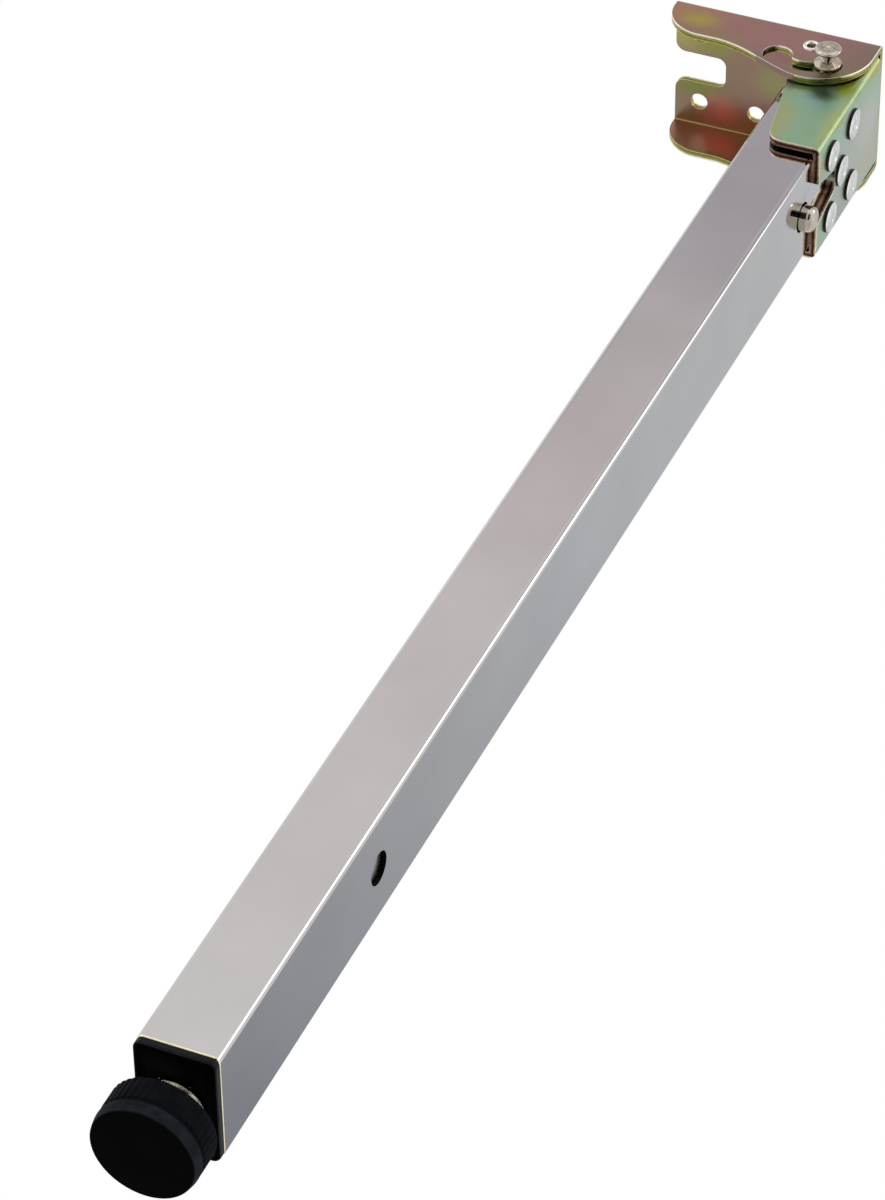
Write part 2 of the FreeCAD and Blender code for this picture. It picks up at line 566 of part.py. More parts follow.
def lock_pin():
    """Turned pin: knob spigot, stop ring, neck for the arc slot, locking collar and a long tail."""
    body = new_body("lock_pin")
    profile = new_sketch(body, "pin_profile", "YZ_Plane", PIN_X, f"-{PIN_DEPTH}")
    face, base = f"(-{FLANGE_OUTER} - knob_gap - knob_height)", f"(-{CLIP_OUTER})"
    ring = f"(-{FLANGE_OUTER} - ring_gap)"
    outline(profile, [
        (face, "0"), (FLANGE_OUTER, "0"), (FLANGE_OUTER, "neck_radius - pin_bevel"),
        (f"{FLANGE_OUTER} - pin_bevel", "neck_radius"), (f"{base} + collar_length", "neck_radius"),
        (f"{base} + collar_length", "collar_radius"), (f"{base} + pin_bevel", "collar_radius"),
        (base, "collar_radius - pin_bevel"), (base, "neck_radius"), (ring, "neck_radius"),
        (ring, "ring_radius"), (f"{ring} - ring_height", "ring_radius"),
        (f"{ring} - ring_height - ring_taper", "spigot_radius"), (face, "spigot_radius"),
    ])
    revolve(body, "pin", profile, "H_Axis")
    return body


def lock_knob():
    """Knob with a flat head and a tapered underside, riveted on the end of the lock pin."""
    body = new_body("lock_knob")
    profile = new_sketch(body, "knob_profile", "YZ_Plane", PIN_X, f"-{PIN_DEPTH}")
    seat = f"(-{FLANGE_OUTER} - knob_gap)"
    face, bore = f"({seat} - knob_height)", "spigot_radius + running_play"
    outline(profile, [
        (face, bore), (seat, bore), (seat, "knob_throat"), (f"{seat} - knob_cone", "knob_radius"),
        (f"{face} + knob_bevel", "knob_radius"), (face, "knob_radius - 2 * knob_bevel"),
    ])
    revolve(body, "knob", profile, "H_Axis")
    return body


def lock_spring():
    """Compression spring round the tail of the lock pin, from its collar to the rear flap."""
    body = new_body("lock_spring")
    start = f"(-{CLIP_OUTER} + collar_length + coil_wire + running_play)"
    stop = f"({CLIP_INNER} - coil_wire - running_play)"
    wire = new_sketch(body, "wire_section", "YZ_Plane")
    outline(wire, [
        (f"{start} + coil_wire * cos({angle})", f"coil_radius + coil_wire * sin({angle})")
        for angle in (0, 60, 120, 180, 240, 300)
    ])
    coil = body.newObject("PartDesign::AdditiveHelix", "coil")
    coil.Profile = wire
    coil.ReferenceAxis = (wire, ["H_Axis"])
    coil.Mode = "height-turns-angle"
    coil.setExpression("Height", bound(f"{stop} - {start}"))
    coil.setExpression("Turns", bound("coil_turns"))
    body.setExpression("Placement.Base.x", bound(PIN_X))
    body.setExpression("Placement.Base.z", bound(f"-{PIN_DEPTH}"))
    doc.recompute()
    return body


def end_plug():
    """Moulded end plug: a flange under the tube ends and a ribbed block inside the tube."""
    body = new_body("end_plug")
    flange = new_sketch(body, "flange_outline", "XY_Plane", f"-{PLUG_FACE}")
    rounded_box(flange, "(tube_width_x / 2)", "(tube_width_y / 2)", "(tube_corner + 0.5)")
    pad(body, "flange", flange, "plug_flange")
    low = -value(PLUG_FACE)
    soften(body, "flange_rounding", "Fillet", "plug_round", lambda e: abs(
        e.BoundBox.ZMax - low) < 1e-4 and abs(e.BoundBox.ZMin - low) < 1e-4)
    block = new_sketch(body, "block_outline", "XY_Plane", f"-{INNER_END}")
    half_x = f"({INNER_HALF_X} - tube_wall - plug_play)"
    half_y = f"({INNER_HALF_Y} - tube_wall - plug_play)"
    rounded_box(block, half_x, half_y, "tube_corner", "block")
    pad(body, "block", block, "plug_length")
    cells = new_sketch(body, "cell_outline", "XY_Plane", f"-{INNER_END} + plug_length")
    boss = "(nut_flats / 2 / cos(30) + 1)"
    for side, label in (("1", "right"), ("-1", "left")):
        ends = (f"{side} * {boss}", f"{side} * ({half_y} - plug_wall)")
        outline(cells, [
            (f"-{half_x} + plug_wall", ends[0]), (f"{half_x} - plug_wall", ends[0]),
            (f"{half_x} - plug_wall", ends[1]), (f"-{half_x} + plug_wall", ends[1]),
        ], label)
    pocket(body, "cells", cells, "plug_length - plug_floor + nut_height")
    nut = new_sketch(body, "nut_pocket_outline", "XY_Plane", f"-{PLUG_FACE}")
    hexagon(nut, "(nut_flats + 2 * hex_play)")
    pocket(body, "nut_pocket", nut, "nut_height + nut_recess", back=True)
    bore = new_sketch(body, "bore_outline", "XY_Plane", f"-{PLUG_FACE}")
    disc(bore, "0", "0", "stem_radius + 0.3", "bore")
    pocket(body, "bore", bore, back=True)
    return body


def nut_insert():
    """Hexagon nut pressed into the plug from below, with a round collar under the plug."""
    body = new_body("nut_insert")
    section = new_sketch(body, "nut_section", "XY_Plane", f"-{PLUG_FACE}")
    hexagon(section, "nut_flats")
    disc(section, "0", "0", "stem_radius + running_play", "bore")
    pad(body, "nut", section, "nut_height")
    ring = new_sketch(body, "collar_section", "XY_Plane", f"-{PLUG_FACE} - collar_height")
    disc(ring, "0", "0", "nut_collar", "rim")
    disc(ring, "0", "0", "stem_radius + running_play", "bore")
    pad(body, "collar", ring, "collar_height")
    return body


def foot_stem():
    """Levelling screw: a hexagon head held in the pad and a shank up through the nut."""
    body = new_body("foot_stem")
    head = new_sketch(body, "head_section", "XY_Plane", f"-{PAD_TOP} - hex_play - bolt_head")
    hexagon(head, "nut_flats")
    pad(body, "head", head, "bolt_head")
    shank = new_sketch(body, "shank_section", "XY_Plane", f"-{PAD_TOP} - hex_play")
    disc(shank, "0", "0", "stem_radius", "shank")
    pad(body, "shank", shank, f"stem_up + {PAD_TOP} + hex_play - {PLUG_FACE}")
    high = value(f"stem_up - {PLUG_FACE}")
    soften(body, "tip", "Chamfer", "stem_chamfer", lambda e: abs(e.BoundBox.ZMin - high) < 1e-3
           and abs(e.BoundBox.ZMax - high) < 1e-3)
    return body


def foot_washer():
    """Broad washer between the foot pad and the plug."""
    body = new_body("foot_washer")
    section = new_sketch(body, "washer_section", "XY_Plane", f"-{WASHER_TOP} - washer_height")
    disc(section, "0", "0", "washer_radius", "rim")
    disc(section, "0", "0", "stem_radius + washer_play", "bore")
    pad(body, "washer", section, "washer_height")
    return body


def foot_pad():
    """Moulded pad with fluted grip, a groove, and a pocket for the screw's head."""
    body = new_body("foot_pad")
    profile = new_sketch(body, "pad_profile", "XZ_Plane")
    waist = "(pad_radius - groove_depth)"
    outline(profile, [
        ("0", f"-{PAD_TOP} - pad_height"), (f"{waist} - pad_round", f"-{PAD_TOP} - pad_height", "pad_round"),
        (waist, f"-{PAD_TOP} - pad_height + pad_round"),
        ("pad_radius", f"-{PAD_TOP} - pad_grip - pad_groove - 1"),
        ("pad_radius", f"-{PAD_TOP} - pad_grip - pad_groove"), (waist, f"-{PAD_TOP} - pad_grip - pad_groove"),
        (waist, f"-{PAD_TOP} - pad_grip"), ("pad_radius", f"-{PAD_TOP} - pad_grip"),
        ("pad_radius", f"-{PAD_TOP}"), ("0", f"-{PAD_TOP}"),
    ])
    revolve(body, "pad", profile, "V_Axis")
    head = new_sketch(body, "head_pocket_outline", "XY_Plane", f"-{PAD_TOP}")
    hexagon(head, "(nut_flats + 2 * hex_play)")
    pocket(body, "head_pocket", head, "bolt_head + 2 * hex_play")
    flute = new_sketch(body, "flute_outline", "XY_Plane", f"-{PAD_TOP}")
    width = "(pad_radius * sin(180 / rib_count) * 0.62)"
    outline(flute, [
        ("pad_radius - rib_depth", "0"), ("pad_radius + 0.3", f"-{width}"), ("pad_radius + 0.3", width),
    ])
    cut = pocket(body, "flute", flute, "pad_grip")
    ring = body.newObject("PartDesign::PolarPattern", "flutes")
    ring.Originals = [cut]
    ring.Axis = (flute, ["N_Axis"])
    ring.Angle = 360.0
    ring.setExpression("Occurrences", bound("rib_count"))
    body.Tip = ring
    doc.recompute()
    return body


pieces = [
    base_bracket(),
    pivot_rivet("pivot_rivet_front", "-1"),
    pivot_rivet("pivot_rivet_rear", "1"),
    leg_clip(),
]
for number, (across, depth) in enumerate(RIVET_PLACES, start=1):
    pieces.append(blind_rivet(f"rivet_{number}", across, depth))
pieces += [
    tube("outer_tube", "(tube_width_x / 2)", "(tube_width_y / 2)", "tube_corner", TUBE_TOP, "tube_end_depth",
         [(across, depth, RIVET_HOLE) for across, depth in RIVET_PLACES]
         + [("0", BUTTON_DEPTH, BUTTON_HOLE), ("0", f"({BUTTON_DEPTH} + extension)", BUTTON_HOLE)]),
    tube("inner_tube", INNER_HALF_X, INNER_HALF_Y, "(tube_corner - tube_clearance)", INNER_TOP, INNER_END,
         [("0", BUTTON_DEPTH, BUTTON_HOLE)]),
    snap_button(),
    lock_pin(),
    lock_knob(),
    lock_spring(),
    end_plug(),
    nut_insert(),
    foot_stem(),
    foot_washer(),
    foot_pad(),
]
doc.recompute()

for item in doc.Objects:
    if "Invalid" in item.State or "Error" in item.State:
        raise RuntimeError(f"{item.Name} failed: {item.State}")
for piece in pieces:
    if piece.Shape.isNull() or not piece.Shape.isValid() or len(piece.Shape.Solids) != 1:
        raise RuntimeError(f"{piece.Label} has no sound solid")

os.makedirs("parts", exist_ok=True)
for piece in pieces:
    piece.Shape.exportStep(f"parts/{piece.Label}.step")
    box = piece.Shape.BoundBox
    print(f"{piece.Label:20s} volume {piece.Shape.Volume:10.2f}  x {box.XMin:8.2f} {box.XMax:8.2f}"
          f"  y {box.YMin:8.2f} {box.YMax:8.2f}  z {box.ZMin:8.2f} {box.ZMax:8.2f}")
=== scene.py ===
"""Folding, telescopic table leg: its looks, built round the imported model.

The frame is the model's own: metres, +Z up, origin on the mounting face of the base
bracket, on the centre line of the leg.  Every size in a class of a piece or a finish is in
millimetres, and the studio's are in metres.
"""

import json
import logging
import math
from dataclasses import dataclass
from enum import Enum
from typing import Any

import bmesh
import bpy
import numpy as np
from mathutils import Matrix, Vector
from mathutils.bvhtree import BVHTree

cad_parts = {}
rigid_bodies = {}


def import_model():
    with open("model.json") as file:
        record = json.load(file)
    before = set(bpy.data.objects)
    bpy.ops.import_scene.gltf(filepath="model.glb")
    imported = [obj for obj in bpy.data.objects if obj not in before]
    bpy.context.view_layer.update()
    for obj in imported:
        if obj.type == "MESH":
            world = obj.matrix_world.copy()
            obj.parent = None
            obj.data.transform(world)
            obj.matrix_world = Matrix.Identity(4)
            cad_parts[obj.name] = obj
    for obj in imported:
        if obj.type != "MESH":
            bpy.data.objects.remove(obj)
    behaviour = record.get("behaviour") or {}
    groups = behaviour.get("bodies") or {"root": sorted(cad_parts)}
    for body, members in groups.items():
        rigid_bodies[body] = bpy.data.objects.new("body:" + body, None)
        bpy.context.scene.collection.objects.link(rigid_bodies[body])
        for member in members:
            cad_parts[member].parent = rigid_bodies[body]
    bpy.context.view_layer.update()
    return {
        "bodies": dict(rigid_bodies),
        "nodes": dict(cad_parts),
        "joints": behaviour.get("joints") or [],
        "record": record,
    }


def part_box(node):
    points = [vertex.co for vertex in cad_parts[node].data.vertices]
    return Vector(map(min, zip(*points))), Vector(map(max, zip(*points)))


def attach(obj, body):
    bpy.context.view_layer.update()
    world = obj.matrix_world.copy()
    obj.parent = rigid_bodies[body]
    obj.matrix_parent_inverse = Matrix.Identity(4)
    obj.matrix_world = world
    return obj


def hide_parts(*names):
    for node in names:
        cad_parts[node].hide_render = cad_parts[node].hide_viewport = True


MM = 0.001
# Faces that meet at more than this keep a sharp edge.
SHARP_EDGE = math.radians(32)
# A bevel breaks the edges that turn by more than this.
EDGE_ANGLE = math.radians(40)
# Triangles that turn by less than this belong to one flat face.
FLAT_ANGLE = math.radians(0.6)
# Points nearer to each other than this are one point, in metres.
WELD = 1e-7
# A ray that looks for the far side of a sheet starts this far behind its face, in metres.
RAY_START = 1e-5
# A face with more metal behind it than this, in sheet thicknesses, is a sheared edge.
EDGE_DEPTH = 1.3
# How far the noise stirs the places of the film's patches, in millimetres.
STIR = 3.5
# How far the bands of a sheared edge wander, as a share of the sheet.
EDGE_WANDER = 0.14

# Places along a line with the hex colour at each.
Stops = tuple[tuple[float, str], ...]
# X, Y and Z.
Point = tuple[float, float, float]
log = logging.getLogger("table_leg")


class Slot(Enum):
    """The record's material slots."""

    CHROMATED = "chromated_steel"
    RIVET = "rivet_steel"
    PLATED = "plated_tube"
    SPRING = "spring_steel"
    NICKEL = "nickel_steel"
    PLASTIC = "black_plastic"
    RUBBER = "black_rubber"


class Axis(Enum):
    """Axis of a turned piece, as the column that its length takes in the frame."""

    X = 0
    Y = 1
    Z = 2


def linear(colour: str) -> tuple[float, float, float, float]:
    """Turns an sRGB hex colour into the linear colour of a shader socket.

    Args:
        colour: six hex digits, such as "8e6866".

    Returns:
        Linear red, green, blue and an alpha of 1.
    """
    parts = [int(colour[i:i + 2], 16) / 255 for i in (0, 2, 4)]
    red, green, blue = (c / 12.92 if c <= 0.04045 else ((c + 0.055) / 1.055) ** 2.4 for c in parts)
    return red, green, blue, 1.0


def add_node(tree: bpy.types.NodeTree, kind: str, sockets: dict[Any, Any] | None = None,
             links: dict[Any, Any] | None = None, **settings: Any) -> bpy.types.Node:
    """Adds one shader node with its settings, socket values and incoming links.

    Args:
        tree: node tree that gets the node.
        kind: node type without its "ShaderNode" prefix.
        sockets: value of each input socket, by name or number.
        links: output socket that feeds each input socket, by name or number.
        **settings: properties of the node itself.

    Returns:
        The new node.
    """
    node = tree.nodes.new("ShaderNode" + kind)
    for name, value in settings.items():
        setattr(node, name, value)
    for name, value in (sockets or {}).items():
        node.inputs[name].default_value = value
    for name, source in (links or {}).items():
        tree.links.new(source, node.inputs[name])
    return node


def blank_material(name: str) -> tuple[bpy.types.Material, bpy.types.NodeTree, bpy.types.NodeSocket]:
    """Makes an empty material.

    Args:
        name: name of the finish.

    Returns:
        The material, its node tree and the surface socket of its output.
    """
    material = bpy.data.materials.new(name)
    material.use_nodes = True
    tree = material.node_tree
    tree.nodes.clear()
    return material, tree, add_node(tree, "OutputMaterial").inputs["Surface"]


def ramp(tree: bpy.types.NodeTree, factor: bpy.types.NodeSocket, stops: Stops) -> bpy.types.NodeSocket:
    """Colour ramp through the given stops.

    Args:
        tree: node tree.
        factor: value from 0 to 1 that runs along the ramp.
        stops: place and hex colour of each stop, in rising order.

    Returns:
        The colour output.
    """
    node = add_node(tree, "ValToRGB", links={"Fac": factor})
    elements = node.color_ramp.elements
    while len(elements) < len(stops):
        elements.new(0.5)
    for element, (place, colour) in zip(elements, stops):
        element.position = place
        element.color = linear(colour)
    return node.outputs["Color"]


def fine_grain(tree: bpy.types.NodeTree, source: bpy.types.NodeSocket, spacing: float, height: float,
               squash: Point = (1.0, 1.0, 1.0)) -> bpy.types.NodeSocket:
    """Bumps the surface with grains of a real spacing.

    Args:
        tree: node tree.
        source: object coordinates.
        spacing: distance between grains, in millimetres.
        height: height of a grain, in millimetres.
        squash: how much finer the grain is along each axis.

    Returns:
        The bumped normal.
    """
    along = add_node(tree, "Mapping", {"Scale": squash}, {"Vector": source})
    noise = add_node(tree, "TexNoise", {"Scale": 1 / (spacing * MM), "Detail": 3.0},
                     {"Vector": along.outputs[0]})
    return add_node(tree, "Bump", {"Strength": 1.0, "Distance": height * MM},
                    {"Height": noise.outputs[0]}).outputs["Normal"]


@dataclass(frozen=True)
class Patch:
    """A patch where the chromate film came out thicker or thinner, or a patch of painted shade.

    Attributes:
        colour: hex colour of the film there.
        place: centre of the patch.
        reach: radii of the patch along each axis.
        share: how much of the patch's colour shows at its centre.
    """

    colour: str
    place: Point
    reach: Point
    share: float = 1.0


@dataclass(frozen=True)
class YellowZinc:
    """Yellow-chromated zinc plate on pressed steel.

    The film is some hundred nanometres thick and uneven, so the metal shows thin-film
    colours that wander from straw over orange, mauve and blue to green, in soft patches
    of about a centimetre, under a satin gloss.

    Attributes:
        name: name of the finish.
        stops: film colours through which the sheet wanders, thin film first.
        patches: places where the film differs for good, and patches of painted shade.
        grain: size of the wandering.
        roughness: mean roughness.
        spot: size of the spots in which the gloss differs.
        spread: how far the roughness falls and rises in them.
        texture: spacing and height of the rolled sheet's texture.
        slot: material slot of the record; not used.
    """

    name: str
    stops: Stops
    patches: tuple[Patch, ...] = ()
    grain: float = 9.0
    roughness: float = 0.3
    spot: float = 2.2
    spread: tuple[float, float] = (0.07, 0.09)
    texture: tuple[float, float] = (0.35, 0.004)
    slot: Slot = Slot.CHROMATED

    def film(self, tree: bpy.types.NodeTree, place: bpy.types.NodeSocket) -> bpy.types.NodeSocket:
        """Colour of the film.

        Each patch covers what lies under it by share * smoothstep(1 - distance), where the
        distance is counted in its own reaches and the places are stirred by a soft noise.

        Args:
            tree: node tree.
            place: object coordinates.

        Returns:
            The colour output.
        """
        noise = add_node(tree, "TexNoise", {"Scale": 1 / (self.grain * MM), "Detail": 2.0, "Roughness": 0.5},
                         {"Vector": place})
        colour = ramp(tree, noise.outputs[0], self.stops)
        stir = add_node(tree, "VectorMath", {1: (0.5, 0.5, 0.5)}, {0: noise.outputs["Color"]},
                        operation="SUBTRACT")
        stirred = add_node(tree, "VectorMath", {1: [STIR * MM] * 3}, {0: stir.outputs[0], 2: place},
                           operation="MULTIPLY_ADD").outputs[0]
        for patch in self.patches:
            apart = add_node(tree, "VectorMath", {1: [MM * c for c in patch.place]}, {0: stirred},
                             operation="SUBTRACT")
            apart = add_node(tree, "VectorMath", {1: [1 / (MM * c) for c in patch.reach]},
                             {0: apart.outputs[0]}, operation="MULTIPLY")
            length = add_node(tree, "VectorMath", links={0: apart.outputs[0]}, operation="LENGTH")
            near = add_node(tree, "MapRange", {"To Min": patch.share, "To Max": 0.0},
                            {"Value": length.outputs["Value"]}, interpolation_type="SMOOTHSTEP")
            colour = add_node(tree, "MixRGB", {"Color2": linear(patch.colour)},
                              {"Fac": near.outputs[0], "Color1": colour}).outputs["Color"]
        return colour

    def material(self) -> bpy.types.Material:
        """Builds the node tree: the film on finely textured sheet, with duller spots.

        Returns:
            The material.
        """
        material, tree, output = blank_material(self.name)
        place = add_node(tree, "TexCoord").outputs["Object"]
        spots = add_node(tree, "TexNoise", {"Scale": 1 / (self.spot * MM), "Detail": 4.0}, {"Vector": place})
        smooth, dull = self.spread
        limits = {"To Min": self.roughness - smooth, "To Max": self.roughness + dull}
        gloss = add_node(tree, "MapRange", limits, {"Value": spots.outputs[0]})
        shader = add_node(tree, "BsdfPrincipled", {"Metallic": 1.0}, {
            "Base Color": self.film(tree, place), "Roughness": gloss.outputs[0],
            "Normal": fine_grain(tree, place, *self.texture)})
        tree.links.new(shader.outputs[0], output)
        return material


@dataclass(frozen=True)
class ShearedEdge:
    """Sheared and broken edges of the plated sheet.

    The film is thick and uneven in the shear marks, so the edge shows an olive or brown band and a second
    fine line; the cream line on the broken outer corner is a painted highlight.

    Attributes:
        name: name of the finish.
        stops: colours across the sheet, from its inner face to its outer one.
        half: half the width between the channel's sides.
        web: inner face of the channel's web along the given axis.
        axis: axis across the web, X or Z.
        thickness: sheet.
        roughness: roughness.
        shear: size of the shear marks.
        texture: spacing and height of the torn surface's texture.
        slot: material slot of the record; not used.
    """

    name: str
    stops: Stops
    half: float
    web: float
    axis: Axis
    thickness: float = 2.0
    roughness: float = 0.3
    shear: float = 0.8
    texture: tuple[float, float] = (0.5, 0.006)
    slot: Slot = Slot.CHROMATED

    def material(self) -> bpy.types.Material:
        """Builds the node tree.

        The place across the sheet is max(|y| - half, place along the axis - web) / thickness,
        moved a little by a noise of the size of the shear marks.

        Returns:
            The material.
        """
        material, tree, output = blank_material(self.name)
        place = add_node(tree, "TexCoord").outputs["Object"]
        parts = add_node(tree, "SeparateXYZ", links={0: place})
        side = add_node(tree, "Math", links={0: parts.outputs["Y"]}, operation="ABSOLUTE")
        side = add_node(tree, "Math", {1: self.half * MM}, {0: side.outputs[0]}, operation="SUBTRACT")
        web = add_node(tree, "Math", {1: self.web * MM}, {0: parts.outputs[self.axis.value]},
                       operation="SUBTRACT")
        deep = add_node(tree, "Math", links={0: side.outputs[0], 1: web.outputs[0]}, operation="MAXIMUM")
        noise = add_node(tree, "TexNoise", {"Scale": 1 / (self.shear * MM), "Detail": 3.0}, {"Vector": place})
        shift = add_node(tree, "MapRange", {"To Min": -EDGE_WANDER, "To Max": EDGE_WANDER},
                         {"Value": noise.outputs[0]})
        across = add_node(tree, "Math", {1: 1 / (self.thickness * MM)},
                          {0: deep.outputs[0], 2: shift.outputs[0]}, operation="MULTIPLY_ADD")
        shader = add_node(tree, "BsdfPrincipled", {"Metallic": 1.0, "Roughness": self.roughness}, {
            "Base Color": ramp(tree, across.outputs[0], self.stops),
            "Normal": fine_grain(tree, place, *self.texture)})
        tree.links.new(shader.outputs[0], output)
        return material


@dataclass(frozen=True)
class PolishedMetal:
    """Smooth plated or drawn metal.

    Attributes:
        name: name of the finish.
        slot: material slot of the record; not used.
        bright, dull: hex colours between which faint clouds wander.
        roughness: mean roughness.
        cloud: size of the clouds.
        line: spacing of drawing or turning marks.
        mark: height of those marks.
        squash: how much finer the marks are along each axis.
        uneven: share by which the roughness rises and falls in the clouds.
    """

    name: str
    slot: Slot
    bright: str
    dull: str
    roughness: float
    cloud: float = 6.0
    line: float = 0.3
    mark: float = 0.001
    squash: Point = (1.0, 1.0, 1.0)
    uneven: float = 0.3

    def material(self) -> bpy.types.Material:
        """Builds the node tree: clouded metal with fine marks.

        Returns:
            The material.
        """
        material, tree, output = blank_material(self.name)
        place = add_node(tree, "TexCoord").outputs["Object"]
        cloud = add_node(tree, "TexNoise", {"Scale": 1 / (self.cloud * MM), "Detail": 3.0}, {"Vector": place})
        colour = ramp(tree, cloud.outputs[0], ((0.3, self.dull), (0.7, self.bright)))
        limits = {"To Min": self.roughness * (1 + self.uneven), "To Max": self.roughness * (1 - self.uneven)}
        gloss = add_node(tree, "MapRange", limits, {"Value": cloud.outputs[0]})
        shader = add_node(tree, "BsdfPrincipled", {"Metallic": 1.0}, {
            "Base Color": colour, "Roughness": gloss.outputs[0],
            "Normal": fine_grain(tree, place, self.line, self.mark, self.squash)})
        tree.links.new(shader.outputs[0], output)
        return material


@dataclass(frozen=True)
class MouldedBlack:
    """Black moulded plastic or rubber.

    Attributes:
        name: name of the finish.
        slot: material slot of the record; not used.
        bands: height and hex colour there, from the bottom up; a paler band on the pad's lower rim is a
            painted highlight.
        roughness: mean roughness.
        grain: spacing of the mould's texture.
        relief: height of that texture.
        gloss: specular level; carbon black and mould texture take most of the shine.
        cloud: size of the worn clouds.
        worn: hex colour that multiplies the bands where the clouds are darkest.
        spread: how far the roughness rises and falls in the clouds.
    """

    name: str
    slot: Slot
    bands: Stops
    roughness: float
    grain: float
    relief: float
    gloss: float
    cloud: float = 3.0
    worn: str = "c4c4c4"
    spread: float = 0.08

    def material(self) -> bpy.types.Material:
        """Builds the node tree: colour bands times worn clouds, over the mould's texture.

        Returns:
            The material.
        """
        material, tree, output = blank_material(self.name)
        place = add_node(tree, "TexCoord").outputs["Object"]
        low, high = self.bands[0][0], self.bands[-1][0]
        level = add_node(tree, "MapRange", {"From Min": low * MM, "From Max": high * MM},
                         {"Value": add_node(tree, "SeparateXYZ", links={0: place}).outputs["Z"]})
        stops = tuple(((z - low) / (high - low), colour) for z, colour in self.bands)
        tone = ramp(tree, level.outputs[0], stops)
        cloud = add_node(tree, "TexNoise", {"Scale": 1 / (self.cloud * MM), "Detail": 5.0}, {"Vector": place})
        wear = ramp(tree, cloud.outputs[0], ((0.35, self.worn), (0.7, "ffffff")))
        colour = add_node(tree, "MixRGB", {"Fac": 1.0}, {"Color1": tone, "Color2": wear},
                          blend_type="MULTIPLY").outputs["Color"]
        limits = {"To Min": self.roughness - self.spread, "To Max": self.roughness + self.spread}
        rough = add_node(tree, "MapRange", limits, {"Value": cloud.outputs[0]})
        shader = add_node(tree, "BsdfPrincipled", {"Specular IOR Level": self.gloss}, {
            "Base Color": colour, "Roughness": rough.outputs[0],
            "Normal": fine_grain(tree, place, self.grain, self.relief)})
        tree.links.new(shader.outputs[0], output)
        return material


# Bracket: mauve film that turns olive on the arms, orange at the rear fold and brown at the clip.
BRACKET_ZINC = YellowZinc(
    "yellow_chromate_bracket",
    stops=((0.3, "a0797a"), (0.45, "a77c7a"), (0.6, "a67f76"), (0.75, "a08070")),
    patches=(
        Patch("8c8166", (4, -20, -20), (20, 6, 14)), Patch("8d7b6c", (12, -20, -8), (15, 6, 16)),
        Patch("8d7c70", (-16, -20, -21), (14, 6, 9)), Patch("9f856b", (-34, -20, -14), (16, 5, 8)),
        Patch("b08a6a", (-43, -20, -6), (19, 5, 10)), Patch("b2a250", (-40, -20, -8), (8, 5, 6)),
        Patch("9a8370", (-28, 0, -2), (40, 19, 5)), Patch("9c9b68", (-19, 0, -2), (9, 9, 4), 0.9),
        Patch("b4ae6c", (-47, -11, -2), (15, 11, 5)), Patch("969a55", (-37, -9, -2), (10, 7, 4)),
        Patch("888e50", (-42, 6, -2), (13, 7, 4)), Patch("98866c", (-47, 15, -2), (11, 9, 4)),
        Patch("d0887a", (-35, 13, -2), (9, 8, 4)), Patch("a08253", (-25, 16, -2), (8, 6, 4), 0.9),
        Patch("ae8066", (-38, 19, -7), (30, 4, 12)), Patch("bd7c60", (-31, 19, -11), (13, 4, 7)),
        Patch("a88e54", (-34, 19, -3), (24, 3, 3.5), 0.8),
        Patch("8e8a5e", (-38, 19, -17), (30, 4, 4.5)), Patch("6c6a44", (-31, 19, -17), (8, 4, 5), 0.8)))
# Clip: green and teal flaps with an olive bend, a web that pales to grey and beige, and painted shade under
# the flange's lobe.
CLIP_ZINC = YellowZinc(
    "yellow_chromate_clip",
    stops=((0.35, "95b995"), (0.5, "99ba99"), (0.65, "9eba93")),
    patches=(
        Patch("b3b7ac", (12, 3, -26), (5, 26, 44)), Patch("bfbfb4", (12, -2, -12), (4, 14, 14)),
        Patch("bfb4a2", (12, 10, -12), (4, 9, 12)), Patch("a6aea6", (12, 14, -34), (4, 9, 16)),
        Patch("a3bca4", (12, -15, -32), (4, 7, 20)), Patch("adb068", (11.5, -17, -8), (4, 5, 12)),
        Patch("adb47e", (-4, -18, -44), (7, 5, 20)), Patch("8fb9ab", (3, -18, -28), (9, 5, 11)),
        Patch("8c9a1c", (8.5, -18, -21.5), (6, 5, 9)),
        # Painted shade: dark olive patch where the bracket's flange lobe shades the flap.
        Patch("4c5a34", (3.5, -18, -26.5), (6, 4, 5), 0.9),
        Patch("8f9a74", (11.6, -17.6, -36), (2.2, 2.2, 28)),
        Patch("b1c080", (10, -18, -38), (3, 5, 20), 0.9),
        Patch("baa488", (12, -11, -50), (3, 5, 5), 0.9)))
# Sheared edges of the bracket: cream line on the outer corner as a painted highlight, olive band,
# yellow-green line.
BRACKET_EDGE = ShearedEdge(
    "sheared_edge_bracket", half=18.5, web=-2.0, axis=Axis.Z,
    stops=((0.0, "c8c070"), (0.12, "b4ae5c"), (0.28, "6a6038"), (0.4, "8a8448"), (0.54, "b8b468"),
           # The cream and near-white stops at the outer face paint a highlight.
           (0.64, "6c6240"), (0.74, "e0d4a0"), (0.84, "fffaea"), (1.0, "fff4d8")))
# Sheared edges of the clip: brown film, near black in the middle, and a cream line outside as a painted
# highlight.
CLIP_EDGE = ShearedEdge(
    "sheared_edge_clip", half=16.0, web=10.0, axis=Axis.X,
    stops=((0.0, "b8a888"), (0.12, "94766a"), (0.3, "74504a"), (0.45, "32201a"), (0.56, "2e1c18"),
           # The cream and near-white stops at the outer face paint a highlight.
           (0.67, "8a6a58"), (0.78, "c4ac88"), (0.88, "f8ecc8"), (1.0, "fff8e4")))
# Bright nickel-chrome on drawn steel tube: a near mirror with faint lines along the draw.
TUBE_CHROME = PolishedMetal("bright_chrome_tube", Slot.PLATED, "c6c3c3", "bdbaba", roughness=0.05,
                            cloud=30.0, line=0.6, mark=0.0004, squash=(1.0, 1.0, 0.02))
